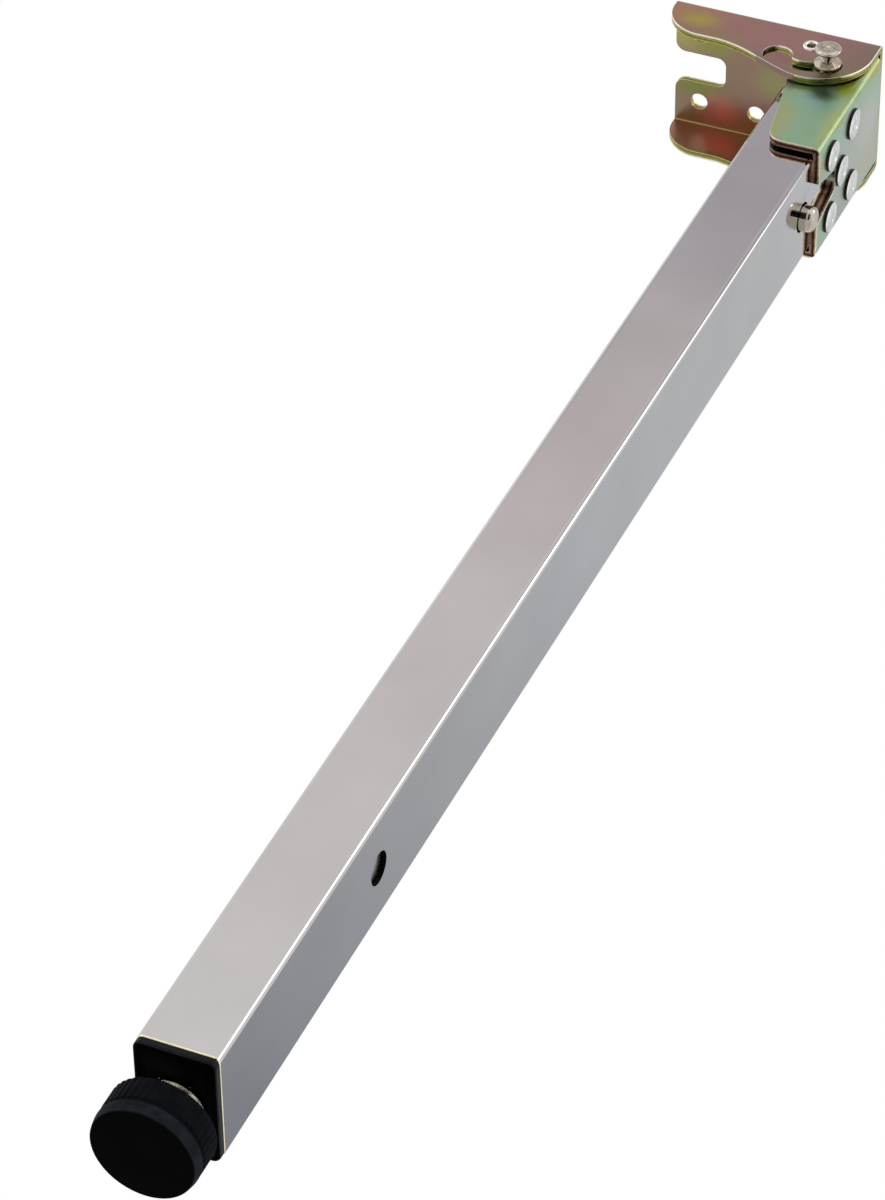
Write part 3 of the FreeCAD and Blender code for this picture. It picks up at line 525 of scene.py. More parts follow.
# The inner tube is plated over a duller ground: satin, a little warmer.
INNER_CHROME = PolishedMetal("satin_inner_tube", Slot.PLATED, "c8c3bc", "bdb7af", roughness=0.2,
                             cloud=30.0, line=0.6, mark=0.0006, squash=(1.0, 1.0, 0.02))
# The plating is ground off the tube's end bevels, and the yellow nickel under it shows.
TUBE_END = PolishedMetal("bare_tube_end", Slot.PLATED, "fff6dc", "f0dfae", roughness=0.18, cloud=3.0)
# Walls of the pierced holes: painted near black, as the shade inside the holes.
TUBE_BORE = ShearedEdge(
    "pierced_wall_painted_shade", half=100.0, web=9.0, axis=Axis.X, thickness=1.0, slot=Slot.PLATED,
    roughness=0.6, stops=((0.0, "1c1c1c"), (1.0, "060606")))
# Bright steel blind rivets: satin heads with the setting tool's rub marks.
RIVET_STEEL = PolishedMetal("bright_rivet_steel", Slot.RIVET, "eeeeea", "cfd0ca", roughness=0.17,
                            cloud=1.5, mark=0.003)
# Turned-down rim of a rivet head: painted near black as the shade under the head, beside the bright dome.
RIVET_RIM_SHADE = PolishedMetal("rivet_rim_painted_shade", Slot.RIVET, "3c362e", "201c18", roughness=0.4, cloud=1.0)
# Hollow pivot rivets: brighter nickel, rubbed by the spinning tool.
EYELET_NICKEL = PolishedMetal("bright_eyelet_nickel", Slot.NICKEL, "fffaf0", "e6e0d4", roughness=0.24,
                              cloud=1.5)
# Nut collar and washer: clean nickel without turning marks, so that the rim draws a light line.
COLLAR_NICKEL = PolishedMetal("clean_collar_nickel", Slot.NICKEL, "fffdf8", "ece8e0", roughness=0.16,
                              cloud=2.0, mark=0.0001)
# Nickel-plated turned steel: warm grey mirror.
NICKEL = PolishedMetal("nickel_turned_steel", Slot.NICKEL, "cfc8bb", "b3aa9b", roughness=0.13,
                       cloud=2.0, line=0.2)
# Hard-drawn spring steel, lightly oiled: darker satin metal.
SPRING_STEEL = PolishedMetal("oiled_spring_steel", Slot.SPRING, "b8b3a8", "98948a", roughness=0.2, cloud=2.0)
# Injection-moulded polypropylene plug: dull black with a soft sheen on its edges.
PLUG_PLASTIC = MouldedBlack("moulded_plug_plastic", Slot.PLASTIC, ((-423.0, "1e1f24"), (-402.0, "1e1f24")),
                            roughness=0.34, grain=0.5, relief=0.006, gloss=0.04)
# The plug's faces that look down, painted darker than its sides as shade.
PLUG_FACE_SHADE = MouldedBlack("plug_face_painted_shade", Slot.PLASTIC, ((-423.0, "020203"), (-402.0, "020203")),
                         roughness=0.5, grain=0.5, relief=0.006, gloss=0.01)
# Moulded rubber-like pad: deeper black, matt, with a paler band on its lower rim as a painted highlight.
PAD_RUBBER = MouldedBlack("moulded_pad_rubber", Slot.RUBBER,
                          ((-439.45, "050505"), (-439.0, "282c31"), (-436.3, "24282d"), (-435.7, "121419"),
                           (-428.6, "15171c")), roughness=0.5, grain=0.4, relief=0.012, gloss=0.01)


def linked(name: str, data: bpy.types.ID) -> bpy.types.Object:
    """Makes an object of a mesh, a lamp or a camera and links it to the scene.

    Args:
        name: name of the object.
        data: its mesh, lamp or camera.

    Returns:
        The new object.
    """
    piece = bpy.data.objects.new(name, data)
    bpy.context.scene.collection.objects.link(piece)
    return piece


def packed_mesh(frame: dict[str, Any], node: str) -> bpy.types.Mesh:
    """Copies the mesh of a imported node, without its materials.

    Args:
        node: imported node.

    Returns:
        The copy.
    """
    mesh = frame["nodes"][node].data.copy()
    mesh.materials.clear()
    return mesh


def per_face(mesh: bpy.types.Mesh, key: str) -> np.ndarray:
    """Reads a vector of every face.

    Args:
        mesh: mesh to read.
        key: "normal" or "center".

    Returns:
        Array (faces, 3).
    """
    values = np.empty(3 * len(mesh.polygons))
    mesh.polygons.foreach_get(key, values)
    return values.reshape(-1, 3)


def paint_faces(mesh: bpy.types.Mesh, numbers: np.ndarray) -> None:
    """Gives each face of a mesh its material number."""
    mesh.polygons.foreach_set("material_index", numbers.astype(np.int32))


def surface(name: str, points: np.ndarray, loop_u: bool = False, loop_v: bool = False) -> bpy.types.Object:
    """Makes a mesh object from a grid of points, with a quad between each four neighbours.

    Rows of equal points, as at a pole, become one vertex.

    Args:
        name: name of the piece.
        points: array (rows, columns, 3) in metres.
        loop_u: whether the last row joins the first.
        loop_v: whether the last column joins the first.

    Returns:
        The new object, closed places welded and faces outward.
    """
    rows, columns = points.shape[:2]
    index = np.arange(rows * columns).reshape(rows, columns)
    index = np.concatenate([index, index[:1]]) if loop_u else index
    index = np.concatenate([index, index[:, :1]], axis=1) if loop_v else index
    quads = np.stack([index[:-1, :-1], index[1:, :-1], index[1:, 1:], index[:-1, 1:]], axis=-1).reshape(-1, 4)
    mesh = bpy.data.meshes.new(name)
    mesh.from_pydata(points.reshape(-1, 3), [], quads)
    return finished(name, mesh)


def finished(name: str, mesh: bpy.types.Mesh) -> bpy.types.Object:
    """Welds doubled points, turns the faces outward and smooths all but the sharp edges.

    Args:
        name: name of the piece.
        mesh: its mesh, which is changed.

    Returns:
        The new object, linked to the scene.
    """
    form = bmesh.new()
    form.from_mesh(mesh)
    bmesh.ops.remove_doubles(form, verts=form.verts, dist=WELD)
    bmesh.ops.recalc_face_normals(form, faces=form.faces)
    form.to_mesh(mesh)
    form.free()
    mesh.shade_smooth()
    mesh.set_sharp_from_angle(angle=SHARP_EDGE)
    return linked(name, mesh)


def merge_flats(mesh: bpy.types.Mesh) -> None:
    """Merges the coplanar triangles of a mesh into whole faces, so that a bevel runs evenly.

    Args:
        mesh: mesh that is changed.
    """
    form = bmesh.new()
    form.from_mesh(mesh)
    bmesh.ops.dissolve_limit(form, angle_limit=FLAT_ANGLE, verts=form.verts, edges=form.edges)
    form.to_mesh(mesh)
    form.free()


def break_edges(piece: bpy.types.Object, width: float, segments: int) -> bpy.types.Modifier:
    """Adds a bevel that breaks every edge sharper than EDGE_ANGLE.

    Args:
        piece: piece that gets the bevel.
        width: width of the broken edge, in millimetres.
        segments: steps across it.

    Returns:
        The modifier.
    """
    bevel = piece.modifiers.new("edge_break", "BEVEL")
    bevel.width = width * MM
    bevel.segments = segments
    bevel.limit_method = "ANGLE"
    bevel.angle_limit = EDGE_ANGLE
    return bevel


def weigh_flats(piece: bpy.types.Object, weight: int = 50, keep_sharp: bool = True) -> None:
    """Lets the flat faces rule the shading, through weighted normals.

    Args:
        piece: piece that gets the modifier.
        weight: 50 weighs faces by their area, 100 lets the largest rule alone.
        keep_sharp: whether sharp edges stay sharp.
    """
    weigh = piece.modifiers.new("flat_sides", "WEIGHTED_NORMAL")
    weigh.weight = weight
    weigh.keep_sharp = keep_sharp


def rounded(corners: list[tuple[float, float]], radius: float, steps: int = 5,
            most: float = 0.45) -> np.ndarray:
    """Rounds each corner of a closed outline.

    Each corner is a quadratic curve from a point one radius before it, pulled to the
    corner, to a point one radius after it; short sides take less than the radius.

    Args:
        corners: outline points.
        radius: distance from the corner at which the curve starts.
        steps: points along each curve.
        most: greatest share of a side that a curve may take.

    Returns:
        Array (points, 2).
    """
    at = np.array(corners, float)
    before, after = np.roll(at, 1, axis=0) - at, np.roll(at, -1, axis=0) - at
    sides = [np.linalg.norm(side, axis=1, keepdims=True) for side in (before, after)]
    start, end = (at + side * np.minimum(radius / length, most)
                  for side, length in zip((before, after), sides))
    t = np.linspace(0, 1, steps)[None, :, None]
    curve = (1 - t) ** 2 * start[:, None] + 2 * t * (1 - t) * at[:, None] + t ** 2 * end[:, None]
    return curve.reshape(-1, 2)


def turned(name: str, profile: np.ndarray, centre: Point, axis: Axis, segments: int = 72) -> bpy.types.Object:
    """Turns a closed profile about an axis.

    A point is centre + along * axis + radius * (cos of the angle, sin of the angle) across it.

    Args:
        name: name of the piece.
        profile: array (points, 2) of place along the axis and radius, in millimetres.
        centre: a point on the axis, in millimetres.
        axis: direction of the axis.
        segments: steps round the axis.

    Returns:
        The new object.
    """
    angle = np.linspace(0, 2 * math.pi, segments, endpoint=False)
    points = np.empty((len(profile), segments, 3))
    points[..., axis.value] = profile[:, :1]
    points[..., (axis.value + 1) % 3] = profile[:, 1:] * np.cos(angle)
    points[..., (axis.value + 2) % 3] = profile[:, 1:] * np.sin(angle)
    return surface(name, (points + np.array(centre)) * MM, loop_u=True, loop_v=True)


def centre_of(node: str) -> Point:
    """Middle of a node's box, in millimetres."""
    low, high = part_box(node)
    return tuple((a + b) / 2 / MM for a, b in zip(low, high))


def place_piece(piece: bpy.types.Object, body: str, finishes: tuple[Any, ...], *nodes: str) -> None:
    """Rides a new piece on its body in its finishes, in place of the nodes, and logs it.

    Args:
        piece: new object, already in place.
        body: body it rides on.
        finishes: finish of each material number.
        *nodes: nodes that it stands for.
    """
    main_finish, *others = finishes
    piece.data.materials.append(main_finish.material())
    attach(piece, body)
    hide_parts(*nodes)
    for finish in others:
        piece.data.materials.append(finish.material())
    log.info("%s rides on %s: %d faces", piece.name, body, len(piece.data.polygons))


@dataclass
class PressedSheet:
    """A folded steel blank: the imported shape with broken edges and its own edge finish.

    Attributes:
        node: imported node.
        body: body it rides on.
        finish: finish of the sheet's faces.
        edge: finish of its sheared edges.
        thickness: sheet.
        edge_break: rounding that the press leaves on every edge.
    """

    node: str
    body: str
    finish: YellowZinc
    edge: ShearedEdge
    thickness: float = 2.0
    edge_break: float = 0.32

    def build(self, frame: dict[str, Any]) -> None:
        """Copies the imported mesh, marks its sheared faces and breaks its edges.
        """
        mesh = packed_mesh(frame, self.node)
        form = bmesh.new()
        form.from_mesh(mesh)
        bmesh.ops.remove_doubles(form, verts=form.verts, dist=WELD)
        tree = BVHTree.FromBMesh(form)
        for face in form.faces:
            start = face.calc_center_median() - face.normal * RAY_START
            through = tree.ray_cast(start, -face.normal)[3] or 0.0
            face.material_index = int(through > EDGE_DEPTH * self.thickness * MM)
        bmesh.ops.dissolve_limit(form, angle_limit=FLAT_ANGLE, verts=form.verts, edges=form.edges,
                                 delimit={"MATERIAL"})
        form.to_mesh(mesh)
        form.free()
        mesh.shade_smooth()
        piece = linked(self.node + "_plated", mesh)
        bevel = break_edges(piece, self.edge_break, segments=2)
        bevel.harden_normals = True
        bevel.material = 1
        weigh_flats(piece, weight=100, keep_sharp=False)
        place_piece(piece, self.body, (self.finish, self.edge), self.node)


@dataclass
class SquareTube:
    """A drawn tube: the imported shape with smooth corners, in bright plating.

    Attributes:
        node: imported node.
        body: body it rides on.
        finish: finish of the drawn walls.
        end_zone: height above the lower end in which its ground bevel lies.
        end_tilt: least Z part of the normal of a face of that bevel.
        bore_zone: half width along Y of the strip that holds the pierced holes.
        wall_zone: distance along X from the middle at which their walls begin.
        bore_tilt: greatest X part of the normal of such a wall.
    """

    node: str
    body: str
    finish: PolishedMetal = TUBE_CHROME
    end_zone: float = 2.0
    end_tilt: float = 0.3
    bore_zone: float = 6.0
    wall_zone: float = 7.0
    bore_tilt: float = 0.5

    def build(self, frame: dict[str, Any]) -> None:
        """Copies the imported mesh, welds it and marks its end bevel and the walls of its holes.
        """
        piece = finished(self.node + "_plated", packed_mesh(frame, self.node))
        normal, middle = np.abs(per_face(piece.data, "normal")), per_face(piece.data, "center")
        end = middle[:, 2] < middle[:, 2].min() + self.end_zone * MM
        middle = np.abs(middle)
        bore = ((normal[:, 0] < self.bore_tilt) & (middle[:, 1] < self.bore_zone * MM)
                & (middle[:, 0] > self.wall_zone * MM) & ~end)
        # The walls of the holes get the finish with painted shade.
        paint_faces(piece.data, (end & (normal[:, 2] > self.end_tilt)) + 2 * bore)
        weigh_flats(piece, weight=100)
        place_piece(piece, self.body, (self.finish, TUBE_END, TUBE_BORE), self.node)


@dataclass
class BlindRivets:
    """The five blind rivets through the web, seen as low domes with a mandrel pit.

    Attributes:
        count: number of rivets.
        head, shank: radii of head and shank.
        dome: height of the head.
        rim: height of its rim.
        head_edge: inset of the dome's outer edge.
        skirt: height of the rim's straight part.
        under_edge: rounding under the head.
        pit, pit_depth: radius and depth of the mandrel pit.
        pit_edge, pit_drop: width and depth of the pit's rounded edge.
        pit_taper: how much the pit narrows to its floor.
        tail: heights above the tail's end and radii of its formed bulge, from the top down.
        steps: points along the dome.
    """

    count: int = 5
    head: float = 4.4
    shank: float = 2.4
    dome: float = 1.1
    rim: float = 0.7
    head_edge: float = 0.1
    skirt: float = 0.15
    under_edge: float = 0.08
    pit: float = 1.1
    pit_depth: float = 0.18
    pit_edge: float = 0.15
    pit_drop: float = 0.12
    pit_taper: float = 0.1
    tail: tuple[tuple[float, float], ...] = ((3.0, 3.4), (0.6, 3.0), (0.0, 1.4))
    steps: int = 12

    def build(self) -> None:
        """Turns each rivet about its own axis.

        The head is a parabola: height falls with the square of the radius from the dome's
        height at the pit to the rim's at the edge.
        """
        for number in range(1, self.count + 1):
            node = f"rivet_{number}"
            low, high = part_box(node)
            tail, top = low.x / MM, high.x / MM
            seat = top - self.dome
            share = np.linspace(0, 1, self.steps)
            inner, outer = self.pit + self.pit_edge, self.head - self.head_edge
            fall = (self.dome - self.rim) * share ** 2
            cap = np.stack([top - fall, inner + (outer - inner) * share], axis=1)
            floor = top - self.pit_depth
            pit = [(tail, 0.0), (floor, 0.0), (floor, self.pit - self.pit_taper),
                   (top - self.pit_drop, self.pit)]
            bulge = [(tail + up, radius) for up, radius in self.tail]
            foot = [(seat + self.skirt, self.head), (seat, self.head - self.under_edge), (seat, self.shank),
                    (bulge[0][0], self.shank)] + bulge
            _, y, z = centre_of(node)
            piece = turned(node + "_domed", np.concatenate([pit, cap, foot]), (0, y, z), Axis.X)
            across = per_face(piece.data, "center")[:, 0]
            # The rim's faces get painted shade.
            paint_faces(piece.data, (across > seat * MM) & (across < (seat + self.rim) * MM))
            place_piece(piece, "leg", (RIVET_STEEL, RIVET_RIM_SHADE), node)


@dataclass
class Pivot:
    """The two hollow rivets that the leg turns on, with their rolled lips.

    Attributes:
        bore, shank, lip, head: radii of bore, shank, rolled lip and inner head.
        lip_height: height of the rolled lip over the flange.
        head_height: height of the inner head.
        steps: points along the roll.
    """

    bore: float = 1.3
    shank: float = 1.9
    lip: float = 2.45
    head: float = 3.2
    lip_height: float = 0.5
    head_height: float = 0.9
    steps: int = 9

    def build(self) -> None:
        """Turns front and rear rivet; the lip is a half round roll over the flange."""
        for node, side in (("pivot_rivet_front", -1), ("pivot_rivet_rear", 1)):
            low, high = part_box(node)
            inner, outer = sorted((low.y / MM, high.y / MM), key=abs)
            flange, shoulder = outer - side * self.lip_height, inner + side * self.head_height
            roll = np.linspace(0, math.pi, self.steps)
            middle, half = (self.bore + self.lip) / 2, (self.lip - self.bore) / 2
            rise = side * self.lip_height * np.sin(roll)
            lip = np.stack([flange + rise, middle + half * np.cos(roll)], axis=1)
            under = [(inner, self.bore), (inner, self.head), (shoulder, self.head), (shoulder, self.shank),
                     (flange, self.shank)]
            x, _, z = centre_of(node)
            piece = turned(node + "_rolled", np.concatenate([under, lip]), (x, 0, z), Axis.Y)
            place_piece(piece, "bracket", (EYELET_NICKEL,), node)


@dataclass
class Lock:
    """Lock pin, its knob and its spring.

    Attributes:
        neck, ring, collar, spigot, knob: radii of the pin's parts and of the knob.
        ring_gap, ring_height, ring_taper: gap, height and taper of the stop ring.
        collar_length: length of the locking collar.
        dimple: depth of the riveted dimple in the pin's end.
        knob_cone, knob_throat: height of the knob's tapered underside and radius at its foot.
        knob_bevel: height and width of the bevel round the knob's face.
        play: knob to pin, radial.
        soft: rounding of the turned edges.
        wire, coil: radii of the spring's wire and of its coil.
        turns: turns of the spring.
        turn_steps, wire_steps: steps along a turn and round the wire.
        point: radius to which the wire's ends close.
    """

    neck: float = 2.15
    ring: float = 3.8
    ring_gap: float = 0.35
    ring_height: float = 0.7
    ring_taper: float = 0.6
    collar: float = 4.1
    collar_length: float = 4.1
    spigot: float = 1.45
    dimple: float = 0.25
    knob: float = 3.7
    knob_cone: float = 2.9
    knob_throat: float = 1.8
    knob_bevel: tuple[float, float] = (0.4, 0.8)
    play: float = 0.05
    soft: float = 0.25
    wire: float = 0.4
    coil: float = 3.1
    turns: float = 6.0
    turn_steps: int = 28
    wire_steps: int = 12
    point: float = 1e-6

    def pin(self) -> None:
        """Turns the pin, with its stop ring and dimple, and the knob with its tapered underside."""
        x, _, z = centre_of("lock_knob")
        face, seat = (corner.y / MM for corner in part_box("lock_knob"))
        base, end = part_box("leg_clip")[0].y / MM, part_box("lock_pin")[1].y / MM
        under = -end - self.ring_gap
        rim = under - self.ring_height
        shoulder = base + self.collar_length
        profile = rounded([
            (face + self.dimple, 0.0), (end, 0.0), (end, self.neck), (shoulder, self.neck),
            (shoulder, self.collar), (base, self.collar), (base, self.neck), (under, self.neck),
            (under, self.ring), (rim, self.ring), (rim - self.ring_taper, self.spigot), (face, self.spigot),
            (face, 0.5 * self.spigot)], self.soft)
        place_piece(turned("lock_pin_turned", profile, (x, 0, z), Axis.Y), "lock", (NICKEL,), "lock_pin")
        bore = self.spigot + self.play
        deep, wide = self.knob_bevel
        knob = rounded([
            (face, bore), (seat, bore), (seat, self.knob_throat), (seat - self.knob_cone, self.knob),
            (face + deep, self.knob), (face, self.knob - wide)], self.soft)
        place_piece(turned("lock_knob_turned", knob, (x, 0, z), Axis.Y), "lock", (NICKEL,), "lock_knob")

    def spring(self) -> None:
        """Winds the spring.

        The round wire section is carried along a helix: centre is (coil * cos a, pitch * a,
        coil * sin a), and the section lies in the radial and axial directions.
        """
        x, _, z = centre_of("lock_knob")
        low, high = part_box("lock_spring")
        start, stop = low.y / MM + self.wire, high.y / MM - self.wire
        angle = np.linspace(0, 2 * math.pi * self.turns, int(self.turn_steps * self.turns))[:, None]
        section = np.linspace(0, 2 * math.pi, self.wire_steps, endpoint=False)[None]
        thick = self.wire * np.ones_like(angle)
        thick[[0, -1]] = self.point
        radius = self.coil + thick * np.cos(section)
        along = start + (stop - start) * angle / angle[-1] + thick * np.sin(section)
        points = np.stack([x + radius * np.cos(angle), along, z + radius * np.sin(angle)], axis=-1)
        wound = surface("lock_spring_wound", points * MM, loop_v=True)
        place_piece(wound, "leg", (SPRING_STEEL,), "lock_spring")

    def build(self) -> None:
        """Builds pin, knob and spring."""
        self.pin()
        self.spring()


@dataclass
class SnapButton:
    """Spring clip in the inner tube with a drawn button that latches the extension.

    Attributes:
        radius, shoulder: radius of the button and of its drawn shoulder.
        pole: points of the cup nearer to its axis than this lie on it.
        sheet, width: sheet and width of the strip.
        corner: rounding of the strip's edges.
        leg: button to the start of the bend.
        back: length of the strip behind the bend.
        tip_length: button to the strip's upper end.
        cup_steps, bend_steps, corner_steps: points along each curve.
    """

    radius: float = 3.7
    shoulder: float = 1.9
    pole: float = 0.9
    sheet: float = 0.8
    width: float = 10.0
    corner: float = 0.15
    leg: float = 30.0
    back: float = 22.0
    tip_length: float = 6.0
    cup_steps: int = 9
    bend_steps: int = 25
    corner_steps: int = 3

    def build(self) -> None:
        """Turns the button and bends the strip, as two pieces of one clip.

        The strip's section is carried along a line down, a half circle and a line up; each
        point is the path's point plus the section's place across the path.
        """
        low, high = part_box("snap_button")
        tip, outside = high.x / MM, -low.x / MM
        z = high.z / MM - self.tip_length
        inside, hollow = outside - self.sheet, tip - self.sheet
        cup = rounded([(inside, self.radius - self.sheet), (hollow, self.radius - self.sheet), (hollow, 0.0),
                       (tip, 0.0), (tip, self.radius), (inside, self.radius)], self.shoulder, self.cup_steps)
        cup[np.abs(cup[:, 1]) < self.pole, 1] = 0.0
        button = turned("snap_button_domed", cup, (0, 0, z), Axis.X)
        bend = np.linspace(0, math.pi, self.bend_steps)
        middle = outside - self.sheet / 2
        path = np.concatenate([
            [(middle, z + self.tip_length), (middle, z)],
            np.stack([middle * np.cos(bend), z - self.leg - middle * np.sin(bend)], axis=1),
            [(-middle, z - self.leg + self.back)]])
        step = np.gradient(path, axis=0)
        step /= np.linalg.norm(step, axis=1, keepdims=True)
        across = np.stack([step[:, 1], -step[:, 0]], axis=1)
        thick, wide = 0.5 * self.sheet, 0.5 * self.width
        corners = rounded([(-thick, -wide), (thick, -wide), (thick, wide), (-thick, wide)],
                          self.corner, self.corner_steps)
        side = path[:, None] + across[:, None] * corners[None, :, :1]
        flat = np.broadcast_to(corners[:, 1], side.shape[:2])
        points = np.stack([side[..., 0], flat, side[..., 1]], axis=-1)
        first, last = (row.mean(axis=1, keepdims=True).repeat(len(corners), 1)
                       for row in (points[:1], points[-1:]))
        strip = surface("snap_button_strip", np.concatenate([first, points, last]) * MM, loop_v=True)
        place_piece(button, "button", (NICKEL,), "snap_button")
        place_piece(strip, "button", (SPRING_STEEL,), "snap_button")


@dataclass
class LevellingFoot:
    """End plug, nut, levelling screw, washer and fluted pad.

    Attributes:
        face_tilt: Z part of the normal below which a face of the plug looks down.
        collar_break: rounding of the nut's edges.
        pitch, thread: pitch and depth of the screw's thread.
        stem, tip: radius of the screw and how much its tip narrows.
        flats, head: width across the flats and height of the screw's head.
        washer_bore, washer_edge: bore radius and edge rounding of the washer.
        pad, grip, groove, groove_depth: radius of the pad, height of its fluted grip, and
            height and depth of the groove below it.
        pad_foot: heights above the bottom and radii, counted from the groove's, of the lower
            edge.
        pad_shoulder: height at which the pad reaches its full radius.
        pad_soft: rounding of the pad's edges.
        ribs, rib_depth, rib_power: number, depth and power of the flutes.
        turn_steps, thread_steps, rib_steps: steps round the screw, along a thread and
            across a flute.
        flute_limits: points of the profile take the flutes from this far below the grip and
            from this far outside the groove.
    """

    face_tilt: float = -0.5
    collar_break: float = 0.3
    pitch: float = 1.25
    thread: float = 0.55
    stem: float = 4.0
    tip: float = 0.8
    flats: float = 13.0
    head: float = 5.3
    washer_bore: float = 4.1
    washer_edge: float = 0.4
    pad: float = 13.0
    grip: float = 6.5
    groove: float = 1.0
    groove_depth: float = 0.3
    pad_foot: tuple[tuple[float, float], ...] = ((0.0, -0.2), (1.3, 0.1))
    pad_shoulder: float = 2.4
    pad_soft: float = 0.45
    ribs: int = 44
    rib_depth: float = 0.2
    rib_power: float = 1.5
    turn_steps: int = 48
    thread_steps: int = 10
    rib_steps: int = 10
    flute_limits: tuple[float, float] = (0.01, 0.05)

    def hexagon_profile(self, angle: np.ndarray) -> np.ndarray:
        """Radius of a hexagon: half the flats over the cosine of the angle to the nearest flat."""
        return self.flats / 2 / np.cos((angle + math.pi / 6) % (math.pi / 3) - math.pi / 6)

    def screw(self) -> None:
        """Builds the screw.

        The shank's radius is a triangle wave of (height / pitch - angle / full turn), one
        thread a turn, faded out at the tip; the head's radius is the hexagon's.
        """
        low, high = (corner.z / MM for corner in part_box("foot_stem"))
        shank = low + self.head
        angle = np.linspace(0, 2 * math.pi, self.turn_steps, endpoint=False)[None]
        rings = int(self.thread_steps * (high - low - self.head) / self.pitch)
        height = np.linspace(shank, high, rings)[:, None]
        wave = np.abs(((height / self.pitch - angle / (2 * math.pi)) % 1.0) - 0.5) * 2
        radius = np.minimum(self.stem - self.thread * wave, self.stem - self.tip + (high - height))
        hexagon = self.hexagon_profile(angle)
        radius = np.concatenate([0 * angle, hexagon, hexagon, radius, 0 * angle])
        level = np.concatenate([low + 0 * angle, low + 0 * angle, shank + 0 * angle, height + 0 * angle,
                                high + 0 * angle])
        points = np.stack([radius * np.cos(angle), radius * np.sin(angle), level], axis=-1)
        place_piece(surface("foot_screw", points * MM, loop_v=True), "foot", (NICKEL,), "foot_stem")

    def fluted_pad(self) -> None:
        """Builds the pad.

        Its radius is the profile's radius less a row of flutes, each a power of the cosine of
        the rib angle, that stand only on the grip.
        """
        low, high = (corner.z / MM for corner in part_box("foot_pad"))
        outer, waist = self.pad, self.pad - self.groove_depth
        edge = high - self.grip
        profile = rounded(
            [(low, 0.0)] + [(low + up, waist + out) for up, out in self.pad_foot]
            + [(low + self.pad_shoulder, outer), (edge - self.groove, outer), (edge - self.groove, waist),
               (edge, waist), (edge, outer), (high, outer), (high, 0.0)], self.pad_soft, steps=6)
        angle = np.linspace(0, 2 * math.pi, self.ribs * self.rib_steps, endpoint=False)[None]
        below, beside = self.flute_limits
        on_grip = (profile[:, :1] > edge - below) & (profile[:, 1:] > waist + beside)
        flute = self.rib_depth * (0.5 + 0.5 * np.cos(self.ribs * angle)) ** self.rib_power
        radius = profile[:, 1:] - on_grip * flute
        level = profile[:, :1] + 0 * angle
        points = np.stack([radius * np.cos(angle), radius * np.sin(angle), level], axis=-1)
        piece = surface("foot_pad_moulded", points * MM, loop_u=True, loop_v=True)
        place_piece(piece, "foot", (PAD_RUBBER,), "foot_pad")

    def washer(self) -> None:
        """Turns the washer with stamped, rounded edges."""
        low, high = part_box("foot_washer")
        bottom, top, rim = low.z / MM, high.z / MM, high.x / MM
        profile = rounded([(bottom, self.washer_bore), (bottom, rim), (top, rim), (top, self.washer_bore)],
                          self.washer_edge)
        piece = turned("foot_washer_turned", profile, (0, 0, 0), Axis.Z, segments=96)
        place_piece(piece, "washer", (COLLAR_NICKEL,), "foot_washer")

    def plug(self, frame: dict[str, Any]) -> None:
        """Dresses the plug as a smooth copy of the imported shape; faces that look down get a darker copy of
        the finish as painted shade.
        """
        piece = finished("end_plug_fitted", packed_mesh(frame, "end_plug"))
        # Faces that look down get the painted shade.
        paint_faces(piece.data, per_face(piece.data, "normal")[:, 2] < self.face_tilt)
        weigh_flats(piece)
        place_piece(piece, "inner", (PLUG_PLASTIC, PLUG_FACE_SHADE), "end_plug")

    def nut(self, frame: dict[str, Any]) -> None:
        """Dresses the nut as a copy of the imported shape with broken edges.
        """
        piece = finished("nut_insert_fitted", packed_mesh(frame, "nut_insert"))
        merge_flats(piece.data)
        break_edges(piece, self.collar_break, segments=3)
        weigh_flats(piece)
        place_piece(piece, "inner", (COLLAR_NICKEL,), "nut_insert")

    def build(self, frame: dict[str, Any]) -> None:
        """Builds every piece of the foot.
        """
        self.plug(frame)
        self.nut(frame)
        self.screw()
        self.washer()
        self.fluted_pad()


